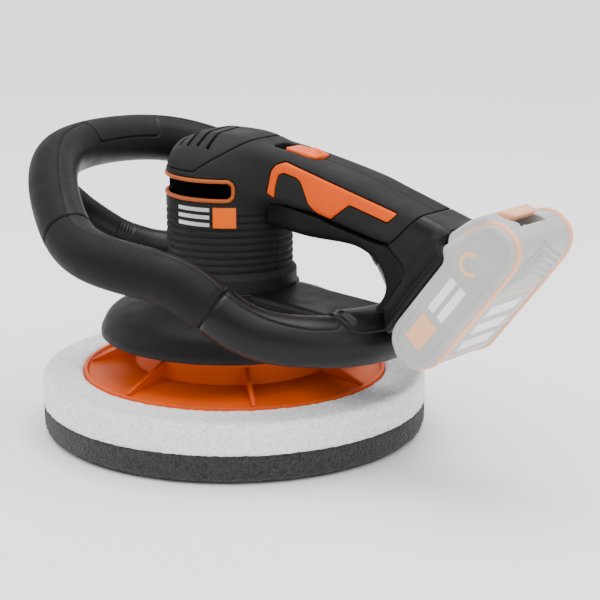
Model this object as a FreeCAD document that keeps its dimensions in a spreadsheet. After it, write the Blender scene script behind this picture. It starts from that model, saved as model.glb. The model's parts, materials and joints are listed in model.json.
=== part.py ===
import FreeCAD, Part
import math
import os
import Sketcher
from FreeCAD import Placement, Rotation, Vector

# Cordless orbital polisher. The origin is on the motor's axis, at the bottom face of the pad.
# +Z is up, +X points to the main handle and battery, and -Y is the operator's left.

# ---------------------------------------------------------------- driving dimensions (mm, degrees)
DIMENSIONS = {
    "pad_radius": 127.0,
    "face_layer_top": 1.5,
    "grey_foam_top": 18.7,
    "white_foam_top": 40.0,
    "plate_seat": 35.3,
    "plate_radius": 100.0,
    "plate_rim_top": 40.4,
    "plate_cone_top": 45.0,
    "collar_radius": 66.0,
    "collar_top": 59.0,
    "plate_web": 4.0,
    "plate_rib_count": 7.0,
    "plate_rib_thickness": 2.4,
    "plate_rib_start": 10.5,
    "orbit_offset": 3.0,
    "spindle_radius": 7.46,
    "spindle_top": 72.0,
    "spindle_bearing_bore": 7.5,
    "spindle_bearing_radius": 16.0,
    "spindle_bearing_low": 60.0,
    "spindle_bearing_width": 9.0,
    "shaft_radius": 3.96,
    "shaft_bearing_bore": 4.0,
    "shaft_bearing_radius": 11.0,
    "shaft_bearing_width": 7.0,
    "lower_bearing_low": 108.0,
    "upper_bearing_low": 180.0,
    "shaft_low": 74.0,
    "shaft_top": 190.0,
    "weight_radius": 46.0,
    "weight_low": 78.0,
    "weight_height": 7.0,
    "fan_radius": 34.0,
    "fan_low": 90.0,
    "fan_height": 13.0,
    "fan_blade_count": 9.0,
    "armature_radius": 20.5,
    "armature_low": 128.0,
    "armature_height": 34.0,
    "armature_slot_count": 12.0,
    "commutator_radius": 9.0,
    "can_radius": 31.0,
    "can_wall": 2.0,
    "can_low": 118.0,
    "can_top": 176.0,
    "shroud_radius": 86.0,
    "shroud_low": 63.0,
    "shroud_rim": 4.0,
    "shroud_top": 96.0,
    "wall": 2.8,
    "housing_radius": 41.5,
    "housing_foot_radius": 44.0,
    "housing_foot_top": 104.0,
    "housing_shoulder": 170.0,
    "housing_top": 194.5,
    "rib_groove_low": 110.5,
    "rib_groove_pitch": 5.6,
    "rib_groove_width": 1.5,
    "rib_groove_depth": 1.2,
    "rib_groove_count": 5.0,
    "slot_trim_low": 156.5,
    "slot_trim_height": 14.6,
    "slot_trim_rail": 2.4,
    "slot_trim_depth": 1.8,
    "slot_trim_end": 43.0,
    "label_thickness": 0.3,
    "label_sweep": 88.0,
    "handle_width": 40.0,
    "handle_round": 4.0,
    "liner_width": 38.0,
    "base_width": 56.0,
    "bridge_width": 52.0,
    "dock_start": 155.9,
    "dock_height": 98.2,
    "dock_tilt": 51.3,
    "rail_width": 32.0,
    "rail_depth": 13.0,
    "rail_gap": 0.4,
    "lead_radius": 1.3,
    "slider_width": 15.0,
    "slider_length": 25.0,
    "loop_radius": 16.0,
    "loop_core_radius": 12.5,
    "loop_core_bore": 9.0,
    "strut_radius": 12.5,
    "battery_width": 66.0,
    "battery_face_width": 56.0,
    "battery_depth": 35.6,
    "cell_radius": 9.1,
    "cell_length": 50.0,
    "screw_radius": 1.6,
    "screw_head_radius": 3.2,
    "screw_head_height": 2.4,
}


class Length:
    """A size together with the sheet expression that gives it, so that sums of sizes stay bound."""

    def __init__(self, number, text):
        self.number = float(number)
        self.text = text

    def combine(self, other, sign, number):
        return Length(number, "(%s %s %s)" % (self.text, sign, as_length(other).text))

    def __add__(self, other):
        return self.combine(other, "+", self.number + as_length(other).number)

    def __radd__(self, other):
        return as_length(other) + self

    def __sub__(self, other):
        return self.combine(other, "-", self.number - as_length(other).number)

    def __rsub__(self, other):
        return as_length(other) - self

    def __mul__(self, factor):
        return self.combine(factor, "*", self.number * as_length(factor).number)

    def __truediv__(self, divisor):
        return self.combine(divisor, "/", self.number / as_length(divisor).number)

    def __neg__(self):
        return self * -1


def as_length(value):
    if isinstance(value, Length):
        return value
    return Length(value, "(%.6g)" % value)


doc = FreeCAD.newDocument("polisher")
sheet = doc.addObject("Spreadsheet::Sheet", "dims")
nodes = {}


class Dims:
    """The sheet's cells as attributes, each one a Length."""


def fill_sheet():
    for row, (alias, number) in enumerate(DIMENSIONS.items(), start=1):
        sheet.set("A%d" % row, alias)
        sheet.set("B%d" % row, "%g" % number)
        sheet.setAlias("B%d" % row, alias)
    doc.recompute()
    for alias in DIMENSIONS:
        setattr(Dims, alias, Length(sheet.get(alias), "dims." + alias))


fill_sheet()
d = Dims


# ---------------------------------------------------------------- helpers
def node(name, obj):
    """Make an object a sub-part: its Label names its file."""
    obj.Label = name
    nodes[name] = obj
    return obj


def bind(obj, prop, value):
    """Set a property, bound to the sheet where the value comes from there."""
    if isinstance(value, Length):
        obj.setExpression(prop, value.text)
    else:
        setattr(obj, prop, value)


def outline(body, role, points, offset=0.0):
    """A closed sketch whose corners are dimensioned from the origin of one of the body's own planes."""
    sketch = body.newObject("Sketcher::SketchObject", "outline")
    plane = [feature for feature in body.Origin.OriginFeatures if feature.Role == role][0]
    sketch.AttachmentSupport = [(plane, "")]
    sketch.MapMode = "FlatFace"
    sketch.AttachmentOffset = Placement(Vector(0, 0, offset), Rotation())
    corners = [[as_length(number) for number in point] for point in points]
    places = [Vector(across.number, along.number, 0) for across, along in corners]
    last = len(places) - 1
    for index, place in enumerate(places):
        following = places[0] if index == last else places[index + 1]
        sketch.addGeometry(Part.LineSegment(place, following), False)
    for index in range(len(places)):
        following = 0 if index == last else index + 1
        sketch.addConstraint(Sketcher.Constraint("Coincident", index, 2, following, 1))
    for index, corner in enumerate(corners):
        for kind, value in zip(("DistanceX", "DistanceY"), corner):
            constraint = Sketcher.Constraint(kind, -1, 1, index, 1, value.number)
            number = sketch.addConstraint(constraint)
            if "dims." in value.text:
                sketch.setExpression("Constraints[%d]" % number, value.text)
    return sketch


def new_body(name):
    return doc.addObject("PartDesign::Body", name)


def revolved(name, points, angle=360.0):
    """A body turned about Z from an outline of (radius, height) points."""
    body = new_body(name)
    sketch = outline(body, "XZ_Plane", points)
    turn = body.newObject("PartDesign::Revolution", "turn")
    turn.Profile = sketch
    turn.ReferenceAxis = (sketch, ["V_Axis"])
    bind(turn, "Angle", angle)
    body.Tip = turn
    return body


def ring(name, inner, outer, low, height):
    """A plain ring or disc about Z."""
    high = as_length(low) + height
    return revolved(name, [(inner, low), (outer, low), (outer, high), (inner, high)])


def padded_outline(body, role, points, length, offset=0.0, both_ways=False):
    pad = body.newObject("PartDesign::Pad", "pad")
    pad.Profile = outline(body, role, points, offset)
    bind(pad, "Length", length)
    if both_ways:
        pad.SideType = "Symmetric"
    body.Tip = pad
    return pad


def side_prism(name, points, width):
    """A body of an (x, z) outline, centred on the plane y = 0."""
    body = new_body(name)
    padded_outline(body, "XZ_Plane", points, width, both_ways=True)
    return body


def rounded_side_prism(name, points, width, radius):
    """A side prism whose long edges, on both flanks, are rounded."""
    body = side_prism(name, points, width)
    doc.recompute()
    pad = body.Tip
    shape = body.Shape
    half = as_length(width).number / 2
    names = []
    for number, edge in enumerate(shape.Edges, start=1):
        if all(abs(abs(vertex.Y) - half) < 0.01 for vertex in edge.Vertexes):
            if abs(edge.Vertexes[0].Y - edge.Vertexes[-1].Y) < 0.01:
                names.append("Edge%d" % number)
    fillet = body.newObject("PartDesign::Fillet", "rounding")
    fillet.Base = (pad, names)
    bind(fillet, "Radius", radius)
    body.Tip = fillet
    return body


def block(name, low, high):
    """A box between two corners."""
    box = doc.addObject("Part::Box", name)
    for prop, start, end in zip(("Length", "Width", "Height"), low, high):
        bind(box, prop, as_length(end) - start)
    for prop, start in zip(("x", "y", "z"), low):
        bind_place(box, prop, start)
    return box


def bind_place(obj, axis, value):
    obj.setExpression("Placement.Base." + axis, as_length(value).text)


def rod(name, radius, start, end):
    """A cylinder between two points."""
    start = Vector(*start)
    end = Vector(*end)
    cylinder = doc.addObject("Part::Cylinder", name)
    bind(cylinder, "Radius", radius)
    cylinder.Height = (end - start).Length
    cylinder.Placement = Placement(start, Rotation(Vector(0, 0, 1), end - start))
    return cylinder


def cut(name, base, *tools):
    """The base with each tool taken away in turn."""
    result = base
    for tool in tools:
        step = doc.addObject("Part::Cut", name)
        step.Base = result
        step.Tool = tool
        result = step
    return result


def joined(name, *shapes):
    fusion = doc.addObject("Part::MultiFuse", name)
    fusion.Shapes = list(shapes)
    return fusion


def shared(name, first, second):
    common = doc.addObject("Part::Common", name)
    common.Base = first
    common.Tool = second
    return common


def group(name, members):
    """Separate solids held together as one node."""
    compound = doc.addObject("Part::Compound", name)
    compound.Links = members
    return compound


def mirrored(name, source):
    """The same piece on the other side of the plane y = 0."""
    mirror = doc.addObject("Part::Mirroring", name)
    mirror.Source = source
    mirror.Normal = Vector(0, 1, 0)
    return mirror


def screw(name, tip, head_end):
    """A screw from its tip to the outer face of its head; its shape is set by the sheet's screw sizes."""
    tip = Vector(*tip)
    head_end = Vector(*head_end)
    length = (head_end - tip).Length
    under_head = length - d.screw_head_height
    body = revolved(name, [
        (0, 0),
        (d.screw_radius, 0),
        (d.screw_radius, under_head),
        (d.screw_head_radius, under_head),
        (d.screw_head_radius, length),
        (0, length),
    ])
    body.Placement = Placement(tip, Rotation(Vector(0, 0, 1), head_end - tip))
    return body


def on_orbit_axis(body, turn=0.0):
    """Move a round body from the motor's axis to the eccentric one."""
    body.Placement = Placement(Vector(0, 0, 0), Rotation(Vector(0, 0, 1), turn))
    bind_place(body, "x", d.orbit_offset)
    return body


# ---------------------------------------------------------------- pad, plate and spindle
def build_pad():
    skin = ring("foam_face", 0, d.pad_radius - 0.5, 0, d.face_layer_top)
    grey = ring("foam_grey", 0, d.pad_radius, d.face_layer_top, d.grey_foam_top - d.face_layer_top)
    white = revolved("foam_white", [
        (0, d.grey_foam_top),
        (d.pad_radius, d.grey_foam_top),
        (d.pad_radius, d.white_foam_top),
        (d.plate_radius + 0.4, d.white_foam_top),
        (d.plate_radius + 0.4, d.plate_seat),
        (0, d.plate_seat),
    ])
    for name, body in (("pad_face_layer", skin), ("pad_grey_foam", grey), ("pad_white_foam", white)):
        node(name, on_orbit_axis(body))


def build_plate():
    web_top = d.plate_cone_top + 3
    plate = revolved("plate", [
        (0, d.plate_seat),
        (16, d.plate_seat),
        (16, web_top - d.plate_web),
        (d.collar_radius - 6, web_top - d.plate_web),
        (d.plate_radius - 8, d.plate_seat),
        (d.plate_radius, d.plate_seat),
        (d.plate_radius, d.plate_rim_top),
        (d.plate_radius - 2, d.plate_rim_top),
        (d.plate_radius - 3, d.plate_rim_top - 1.4),
        (d.collar_radius, d.plate_cone_top),
        (d.collar_radius - 3, d.collar_top),
        (d.collar_radius - 6, d.collar_top),
        (d.collar_radius - 5, web_top),
        (0, web_top),
    ])
    rib = padded_outline(plate, "XZ_Plane", [
        (d.collar_radius - 5, web_top - 1),
        (d.collar_radius - 4, d.collar_top - 3),
        (d.collar_radius, d.collar_top - 4),
        (d.plate_radius - 4, d.plate_rim_top + 0.6),
        (d.plate_radius - 4, d.plate_rim_top - 2.5),
        (d.collar_radius + 2, d.plate_cone_top - 2),
    ], d.plate_rib_thickness, both_ways=True)
    doc.recompute()
    pattern = plate.newObject("PartDesign::PolarPattern", "ribs")
    pattern.Originals = [rib]
    pattern.Axis = (rib.Profile[0], ["V_Axis"])
    pattern.Angle = 360
    bind(pattern, "Occurrences", d.plate_rib_count)
    plate.Tip = pattern
    on_orbit_axis(plate, d.plate_rib_start.number)
    spindle = on_orbit_axis(revolved("spindle", [
        (0, web_top),
        (20, web_top),
        (20, web_top + 4),
        (9.5, web_top + 4),
        (9.5, d.spindle_bearing_low - 0.4),
        (d.spindle_radius, d.spindle_bearing_low - 0.4),
        (d.spindle_radius, d.spindle_top),
        (0, d.spindle_top),
    ]))
    clip_low = d.spindle_bearing_low + d.spindle_bearing_width + 0.3
    node("spindle_clip", on_orbit_axis(ring("clip", d.spindle_radius, 10, clip_low, 1.2)))
    screws = [plate_screw(turn, web_top) for turn in (0, 90, 180, 270)]
    node("plate_screws", group("plate_screw_set", screws))
    node("backing_plate", cut("plate_drilled", plate, nodes["plate_screws"]))
    node("pad_spindle", cut("spindle_drilled", spindle, nodes["plate_screws"]))


def plate_screw(turn, web_top):
    """One of the screws that come up through the plate into the spindle's flange."""
    reach = 12.5
    across = d.orbit_offset.number + reach * math.cos(math.radians(turn))
    along = reach * math.sin(math.radians(turn))
    tip = (across, along, web_top.number + 3)
    return screw("plate_screw", tip, (across, along, d.plate_seat.number + 1))


# ---------------------------------------------------------------- rotor
def build_rotor():
    hub_low = d.spindle_bearing_low
    pocket_top = d.spindle_bearing_low + d.spindle_bearing_width
    hub_cup = on_orbit_axis(revolved("hub_cup", [
        (d.spindle_bearing_radius, hub_low),
        (d.spindle_bearing_radius + 4, hub_low),
        (d.spindle_bearing_radius + 4, d.weight_low),
        (0, d.weight_low),
        (0, d.shaft_low - 1),
        (d.spindle_bearing_radius - 3, d.shaft_low - 1),
        (d.spindle_bearing_radius - 3, pocket_top),
        (d.spindle_bearing_radius, pocket_top),
    ]))
    neck = ring("hub_neck", 0, 12, d.weight_low - 4, 13)
    shaft_bore = ring("hub_bore", 0, d.shaft_radius, d.shaft_low, 30)
    node("eccentric_hub", cut("hub_bored", joined("hub_solid", hub_cup, neck), shaft_bore))
    node("spindle_bearing", on_orbit_axis(ring(
        "orbit_bearing", d.spindle_bearing_bore, d.spindle_bearing_radius,
        d.spindle_bearing_low, d.spindle_bearing_width)))
    weight_top = d.weight_low + d.weight_height
    weight = revolved("weight", [
        (12, d.weight_low),
        (d.weight_radius, d.weight_low),
        (d.weight_radius, weight_top),
        (12, weight_top),
    ], 150.0)
    weight.Placement = Placement(Vector(0, 0, 0), Rotation(Vector(0, 0, 1), 105))
    node("counterweight", weight)
    node("motor_shaft", ring("shaft", 0, d.shaft_radius, d.shaft_low, d.shaft_top - d.shaft_low))
    build_fan()
    core = ring("core", d.shaft_radius, d.armature_radius, d.armature_low, d.armature_height)
    slot = core.newObject("PartDesign::Pocket", "slot")
    slot.Profile = outline(core, "XY_Plane", [
        (11, -1.1), (d.armature_radius + 1, -1.1), (d.armature_radius + 1, 1.1), (11, 1.1)])
    slot.Type = "ThroughAll"
    slot.Reversed = True
    doc.recompute()
    slots = core.newObject("PartDesign::PolarPattern", "slots")
    slots.Originals = [slot]
    slots.Axis = (slot.Profile[0], ["N_Axis"])
    slots.Angle = 360
    bind(slots, "Occurrences", d.armature_slot_count)
    core.Tip = slots
    node("armature_core", core)
    core_top = d.armature_low + d.armature_height
    lower = ring("end_turn", 6, d.armature_radius - 2, d.armature_low - 5, 5)
    upper = ring("end_turn", 6, d.armature_radius - 2, core_top, 5)
    node("armature_windings", group("winding_set", [lower, upper]))
    node("commutator", ring("commutator_drum", d.shaft_radius, d.commutator_radius, core_top + 6, 8))


def build_fan():
    fan = ring("fan_disc", d.shaft_radius, d.fan_radius, d.fan_low, 2)
    hub = fan.newObject("PartDesign::Revolution", "fan_hub")
    hub.Profile = outline(fan, "XZ_Plane", [
        (d.shaft_radius, d.fan_low + 1),
        (10, d.fan_low + 1),
        (10, d.fan_low + d.fan_height),
        (d.shaft_radius, d.fan_low + d.fan_height),
    ])
    hub.ReferenceAxis = (hub.Profile[0], ["V_Axis"])
    hub.Angle = 360
    blade = padded_outline(fan, "XZ_Plane", [
        (16, d.fan_low + 1),
        (d.fan_radius, d.fan_low + 1),
        (d.fan_radius, d.fan_low + d.fan_height - 3),
        (20, d.fan_low + d.fan_height),
        (16, d.fan_low + d.fan_height),
    ], 1.6, both_ways=True)
    doc.recompute()
    blades = fan.newObject("PartDesign::PolarPattern", "blades")
    blades.Originals = [blade]
    blades.Axis = (blade.Profile[0], ["V_Axis"])
    blades.Angle = 360
    bind(blades, "Occurrences", d.fan_blade_count)
    fan.Tip = blades
    node("cooling_fan", fan)


# ---------------------------------------------------------------- motor parts that stand still
def build_motor():
    inner = d.can_radius - d.can_wall
    node("motor_can", ring("can", inner, d.can_radius, d.can_low, d.can_top - d.can_low))
    magnet = revolved("magnet", [
        (d.armature_radius + 0.8, d.armature_low),
        (inner, d.armature_low),
        (inner, d.armature_low + d.armature_height),
        (d.armature_radius + 0.8, d.armature_low + d.armature_height),
    ], 70.0)
    arcs = []
    for turn in (0, 90, 180, 270):
        arc = magnet if turn == 0 else doc.copyObject(magnet, True)
        arc.Placement = Placement(Vector(0, 0, 0), Rotation(Vector(0, 0, 1), turn + 10))
        arcs.append(arc)
    node("field_magnets", group("magnet_set", arcs))
    rib_inner = d.housing_radius - d.wall
    mounts = [ring("mount_ring", d.can_radius, rib_inner, low, 5) for low in (124, 164)]
    node("motor_mount_rings", group("mount_set", mounts))
    boss_top = d.lower_bearing_low + d.shaft_bearing_width
    node("bearing_bracket", revolved("bracket", [
        (9, d.lower_bearing_low - 2),
        (rib_inner, d.lower_bearing_low - 2),
        (rib_inner, d.lower_bearing_low + 1),
        (14, d.lower_bearing_low + 1),
        (14, boss_top + 1),
        (d.shaft_bearing_radius, boss_top + 1),
        (d.shaft_bearing_radius, d.lower_bearing_low),
        (9, d.lower_bearing_low),
    ]))
    node("lower_bearing", ring("bearing", d.shaft_bearing_bore, d.shaft_bearing_radius,
                               d.lower_bearing_low, d.shaft_bearing_width))
    node("upper_bearing", ring("bearing", d.shaft_bearing_bore, d.shaft_bearing_radius,
                               d.upper_bearing_low, d.shaft_bearing_width))
    cap_top = d.upper_bearing_low + d.shaft_bearing_width
    cap = revolved("cap", [
        (8, d.can_top),
        (d.can_radius, d.can_top),
        (d.can_radius, d.can_top + 3),
        (14, d.can_top + 3),
        (14, cap_top),
        (d.shaft_bearing_radius, cap_top),
        (d.shaft_bearing_radius, d.upper_bearing_low),
        (8, d.upper_bearing_low),
    ])
    node("motor_end_cap", cap)
    build_brushes()


def build_brushes():
    low = d.armature_low + d.armature_height + 7
    brushes = []
    holders = []
    for side in (1, -1):
        near = d.commutator_radius * side + 0.3 * side
        far = d.commutator_radius * side + 12 * side
        edge = (near, far) if side > 0 else (far, near)
        brushes.append(block("brush", (edge[0], -2.5, low), (edge[1], 2.5, low + 5)))
        outer = (near + 2 * side, far - 1 * side)
        outer = outer if side > 0 else (outer[1], outer[0])
        sleeve = block("sleeve", (outer[0], -3.7, low - 1.2), (outer[1], 3.7, low + 6.2))
        hollow = block("sleeve_hollow", (edge[0], -2.5, low), (edge[1], 2.5, low + 5))
        holders.append(cut("brush_holder", sleeve, hollow))
    node("carbon_brushes", group("brush_set", brushes))
    node("brush_holders", group("holder_set", holders))


# ---------------------------------------------------------------- loop handle
# Corners of the loop's centre line on the operator's left, from the battery end to the front.
LOOP_CORNERS = [
    (133, -20, 84),
    (116, -56, 86),
    (85, -85, 91),
    (54, -98, 122),
    (16, -115, 128),
    (-20, -118, 133),
    (-50, -103, 147),
    (-80, -83, 163),
    (-105, -57, 175),
    (-118, -21, 178),
]
REAR_SEAM = 2
FRONT_SEAM = 5


def run_middles():
    """Ends of the loop's tube pieces: the middle of each straight run, both end ones on y = 0."""
    corners = [Vector(*corner) for corner in LOOP_CORNERS]
    middles = [Vector(corners[0].x, 0, corners[0].z)]
    for before, after in zip(corners, corners[1:]):
        middles.append((before + after) * 0.5)
    middles.append(Vector(corners[-1].x, 0, corners[-1].z))
    return corners, middles


def loop_path(name, first, last):
    """The loop's centre line round its corners first to last."""
    corners, middles = run_middles()
    return rounded_path(name, corners[first:last + 1], middles[first:last + 2])


def rounded_path(name, corners, middles):
    """Straight runs joined by tangent arcs: each corner lies between two of the middles."""
    edges = []
    position = middles[0]
    for index, corner in enumerate(corners):
        into = (corner - middles[index]).normalize()
        out = (middles[index + 1] - corner).normalize()
        reach = 0.9 * min((corner - middles[index]).Length, (middles[index + 1] - corner).Length)
        turn = into.getAngle(out)
        radius = reach / math.tan(turn / 2)
        start = corner - into * reach
        end = corner + out * reach
        inward = (out - into).normalize()
        arc_middle = corner + inward * (radius / math.cos(turn / 2) - radius)
        edges.append(Part.LineSegment(position, start).toShape())
        edges.append(Part.Arc(start, arc_middle, end).toShape())
        position = end
    edges.append(Part.LineSegment(position, middles[-1]).toShape())
    spine = doc.addObject("Part::Feature", name)
    spine.Shape = Part.Wire(edges)
    return spine


def swept_tube(name, spine, radius):
    """A solid round bar along a spine."""
    section = doc.addObject("Part::Circle", name + "_section")
    bind(section, "Radius", radius)
    first = spine.Shape.OrderedEdges[0]
    start = first.valueAt(first.FirstParameter)
    along = first.tangentAt(first.FirstParameter)
    section.Placement = Placement(start, Rotation(Vector(0, 0, 1), along))
    sweep = doc.addObject("Part::Sweep", name)
    sweep.Sections = [section]
    sweep.Spine = (spine, ["Edge%d" % (number + 1) for number in range(len(spine.Shape.Edges))])
    sweep.Solid = True
    sweep.Frenet = False
    return sweep


def build_loop():
    last = len(LOOP_CORNERS) - 1
    whole = loop_path("loop_spine", 0, last)
    core_bar = swept_tube("core_bar", whole, d.loop_core_radius)
    core_bore = swept_tube("core_bore", whole, d.loop_core_bore)
    core_left = node("loop_core_left", cut("core_tube", core_bar, core_bore))
    node("loop_core_right", mirrored("core_tube_right", core_left))
    pieces = {}
    for piece, first, final in (
            ("rear", 0, REAR_SEAM), ("side", REAR_SEAM + 1, FRONT_SEAM), ("front", FRONT_SEAM + 1, last)):
        spine = loop_path(piece + "_spine", first, final)
        bar = swept_tube(piece + "_bar", spine, d.loop_radius)
        bore = swept_tube(piece + "_bore", spine, d.loop_core_radius)
        pieces[piece] = cut(piece + "_sleeve", bar, bore)
    node("loop_side_grip_left", pieces["side"])
    node("loop_side_grip_right", mirrored("side_grip_right", pieces["side"]))
    rear_right = mirrored("rear_right", pieces["rear"])
    front_right = mirrored("front_right", pieces["front"])
    node("loop_rear_frame", joined("rear_frame", pieces["rear"], rear_right))
    front = joined("front_sleeve", pieces["front"], front_right)
    badge_cutter = block("badge_space", (-142, 10, 170), (-95, 48, 200))
    node("loop_front_grip", cut("front_grip", front, badge_cutter))
    node("badge_panel", shared("badge_shell", front, badge_cutter))
    return swept_tube("loop_solid", whole, d.loop_radius)


HALF_SPACE = 300
STRUT_GAP = 0.2
STRUT_CORNERS = [(-54, -17, 111.8), (-69, -34, 123), (-80, -48, 136), (-88, -62, 151)]


def build_strut(loop_solid):
    """Two round arms that rise from the front of the motor housing and spread to the loop."""
    corners = [Vector(*point) for point in STRUT_CORNERS]
    middles = [Vector(-33, -7, 111)]
    for before, after in zip(corners, corners[1:]):
        middles.append((before + after) * 0.5)
    middles.append(Vector(-91, -70, 163))
    spine = rounded_path("strut_spine", corners, middles)
    arm = swept_tube("strut_bar", spine, d.strut_radius)
    barrel = ring("barrel", 0, d.housing_radius, 90, 40)
    foot = ring("foot", 0, d.housing_foot_radius, 90, 17)
    skirt = shroud_space("strut_skirt")
    front = block("strut_side", (-HALF_SPACE, -HALF_SPACE, 0), (HALF_SPACE, -STRUT_GAP, HALF_SPACE))
    left = shared("strut_left", cut("strut_trimmed", arm, barrel, foot, skirt, loop_solid), front)
    node("loop_struts", group("strut_pair", [left, mirrored("strut_right", left)]))


# ---------------------------------------------------------------- casing
HANDLE_TOP = [(0, 194.2), (22, 194.2), (42, 192.5), (73, 188), (113.5, 180), (136, 173.5), (166, 164.5)]
PARTING = [(150, 149), (144, 144), (133, 144), (99, 151), (87, 154), (60, 156.5), (0, 156.5)]
LINER_OUTER = [(36, 156.3), (60, 156.3), (87, 153.8), (99, 150.8), (133, 143.8), (143.6, 142.6),
               (155, 134), (157, 130), (155, 124), (138.5, 100)]
LINER_INNER = [(127, 99.4), (137, 110), (139.2, 119), (134.6, 129), (125, 135.5),
               (112, 138.8), (88, 139), (36, 139)]
BASE_OUTLINE = [(166.3, 164.4), (188.6, 158.2), (187.3, 150.5), (192, 143.3), (155.9, 98.2),
                (150.6, 91.6), (145.9, 96), (139.2, 100.4), (155.3, 124),
                (157.3, 130), (155.3, 134.2), (144, 143.8), (150.3, 149)]
BRIDGE_OUTLINE = [(38, 98), (56, 97), (118, 94), (130, 99.6), (130, 84), (116, 78), (38, 78)]
TOP_COVER_LINE = [(-60, 175.2), (7, 175.2), (36, 197), (36, 210), (-60, 210)]
INSERT_OUTLINE = [(49.5, 164.1), (54.9, 161.4), (56.2, 169.5), (58.6, 176.6), (62.8, 178.6), (73.4, 176.7),
                  (77, 174.4), (80.5, 166.9), (82.9, 161.7), (87.5, 156.2), (99.2, 153.6), (108.2, 159.9),
                  (115.1, 164.9), (143.9, 157.9), (150.8, 163.7), (117.2, 172.3), (77, 182), (64, 185.1),
                  (56.8, 182.5), (53.2, 178.4)]
CASING_SCREWS = [(96, 172.5), (124, 167)]


def housing_profile(inset, low, grooved=False):
    """Outline of the motor housing, moved inwards by the inset, from the height low up."""
    foot = d.housing_foot_radius - inset
    barrel = d.housing_radius - inset
    points = [(0, low), (foot if not inset else barrel, low)]
    if not inset:
        points += [(foot, d.housing_foot_top), (barrel, d.housing_foot_top + 3)]
    if grooved:
        for number in range(int(d.rib_groove_count.number)):
            start = d.rib_groove_low + d.rib_groove_pitch * number
            points += [
                (barrel, start),
                (barrel - d.rib_groove_depth, start + 0.3),
                (barrel - d.rib_groove_depth, start + d.rib_groove_width - 0.3),
                (barrel, start + d.rib_groove_width),
            ]
    points += [
        (barrel, d.housing_shoulder),
        (barrel - 1.5, d.housing_shoulder + 6),
        (barrel - 4, d.housing_shoulder + 12 - inset * 0.5),
        (barrel - 7.5, d.housing_shoulder + 18 - inset * 0.7),
        (barrel - 12, d.housing_shoulder + 22 - inset * 0.9),
        (barrel - 22, d.housing_top - 0.6 - inset),
        (0, d.housing_top - inset),
    ]
    return points


def build_casing(loop_solid):
    outer = joined(
        "casing_outer",
        revolved("housing_outer", housing_profile(0, d.shroud_top, grooved=True)),
        rounded_side_prism("handle_outer", HANDLE_TOP + PARTING, d.handle_width, d.handle_round))
    handle_hollow = side_prism("handle_hollow", [
        (0, 190), (24, 190), (42, 188), (73, 183.5), (113, 175.5), (136, 169.5), (158, 163),
        (146, 150), (133, 147), (99, 154), (87, 157), (0, 159.5)], d.handle_width - d.wall * 2)
    inner = joined(
        "casing_inner",
        revolved("housing_inner", housing_profile(d.wall.number, d.shroud_top - 1)),
        handle_hollow)
    hollowed = cut("casing_shell", outer, inner)
    bosses = [rod("boss", d.screw_head_radius + 1.2, (x, -18, z), (x, 18, z)) for x, z in CASING_SCREWS]
    screws = [screw("casing_screw", (x, -12, z), (x, 18.2, z)) for x, z in CASING_SCREWS]
    node("casing_screws", group("casing_screw_set", screws))
    with_bosses = joined("casing_bossed", hollowed, *bosses)
    cover_space = side_prism("cover_space", TOP_COVER_LINE, 120)
    node("top_cover", cut("vented_cover", shared("cover_blank", hollowed, cover_space), *vent_slots()))
    trim_space = slot_trim_solid()
    inserts = [side_insert(side) for side in (1, -1)]
    casing = cut("casing_whole", with_bosses, cover_space, trim_space, inserts[0], inserts[1],
                 switch_space(), slot_opening(), nodes["casing_screws"], nodes["shroud_screws"],
                 nodes["power_leads"])
    left_half = block("left_half", (-HALF_SPACE, -HALF_SPACE, 0), (HALF_SPACE, 0, HALF_SPACE))
    right_half = block("right_half", (-HALF_SPACE, 0, 0), (HALF_SPACE, HALF_SPACE, HALF_SPACE))
    node("casing_left", shared("casing_half_left", casing, left_half))
    node("casing_right", shared("casing_half_right", casing, right_half))
    labels = [side_label(start) for start in (-42 - d.label_sweep.number, 42)]
    node("housing_labels", group("label_set", labels))
    build_liner(loop_solid)


def vent_slots():
    """Slanted cooling slots through the front of the top cover."""
    slots = []
    for number in range(4):
        slot = side_prism("vent", [(0, 0), (40, 0), (40, 20), (0, 20)], 1.9)
        place = Vector(-16.2 + 8.6 * number, -30, 190.2)
        slot.Placement = Placement(place, Rotation(Vector(0, 0, 1), 104))
        slots.append(slot)
    return slots


def trim_ring(name, radius_in, radius_out, low, high):
    """A band about the housing, open at the back over the handle's side."""
    end = d.slot_trim_end.number
    band = revolved(name, [(radius_in, low), (radius_out, low), (radius_out, high), (radius_in, high)],
                    360.0 - 2 * end)
    band.Placement = Placement(Vector(0, 0, 0), Rotation(Vector(0, 0, 1), end))
    return band


def slot_trim_solid():
    inner = d.housing_radius - d.slot_trim_depth
    high = d.slot_trim_low + d.slot_trim_height
    outer_band = trim_ring("trim_band", inner, d.housing_radius + 0.6, d.slot_trim_low, high)
    window = revolved("trim_window", [
        (inner - 5, d.slot_trim_low + d.slot_trim_rail),
        (d.housing_radius + 5, d.slot_trim_low + d.slot_trim_rail),
        (d.housing_radius + 5, high - d.slot_trim_rail),
        (inner - 5, high - d.slot_trim_rail),
    ], 360.0 - 2 * d.slot_trim_end.number - 8)
    window.Placement = Placement(Vector(0, 0, 0), Rotation(Vector(0, 0, 1), d.slot_trim_end.number + 4))
    return node("slot_trim", cut("trim_frame", outer_band, window))


def slot_opening():
    """The air slot inside the trim."""
    inner = d.housing_radius - d.wall - 1
    low = d.slot_trim_low + d.slot_trim_rail + 0.6
    high = d.slot_trim_low + d.slot_trim_height - d.slot_trim_rail - 0.6
    opening = revolved("air_slot", [(inner, low), (inner + 12, low), (inner + 12, high), (inner, high)],
                       360.0 - 2 * d.slot_trim_end.number - 14)
    opening.Placement = Placement(Vector(0, 0, 0), Rotation(Vector(0, 0, 1), d.slot_trim_end.number + 7))
    return opening


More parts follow.
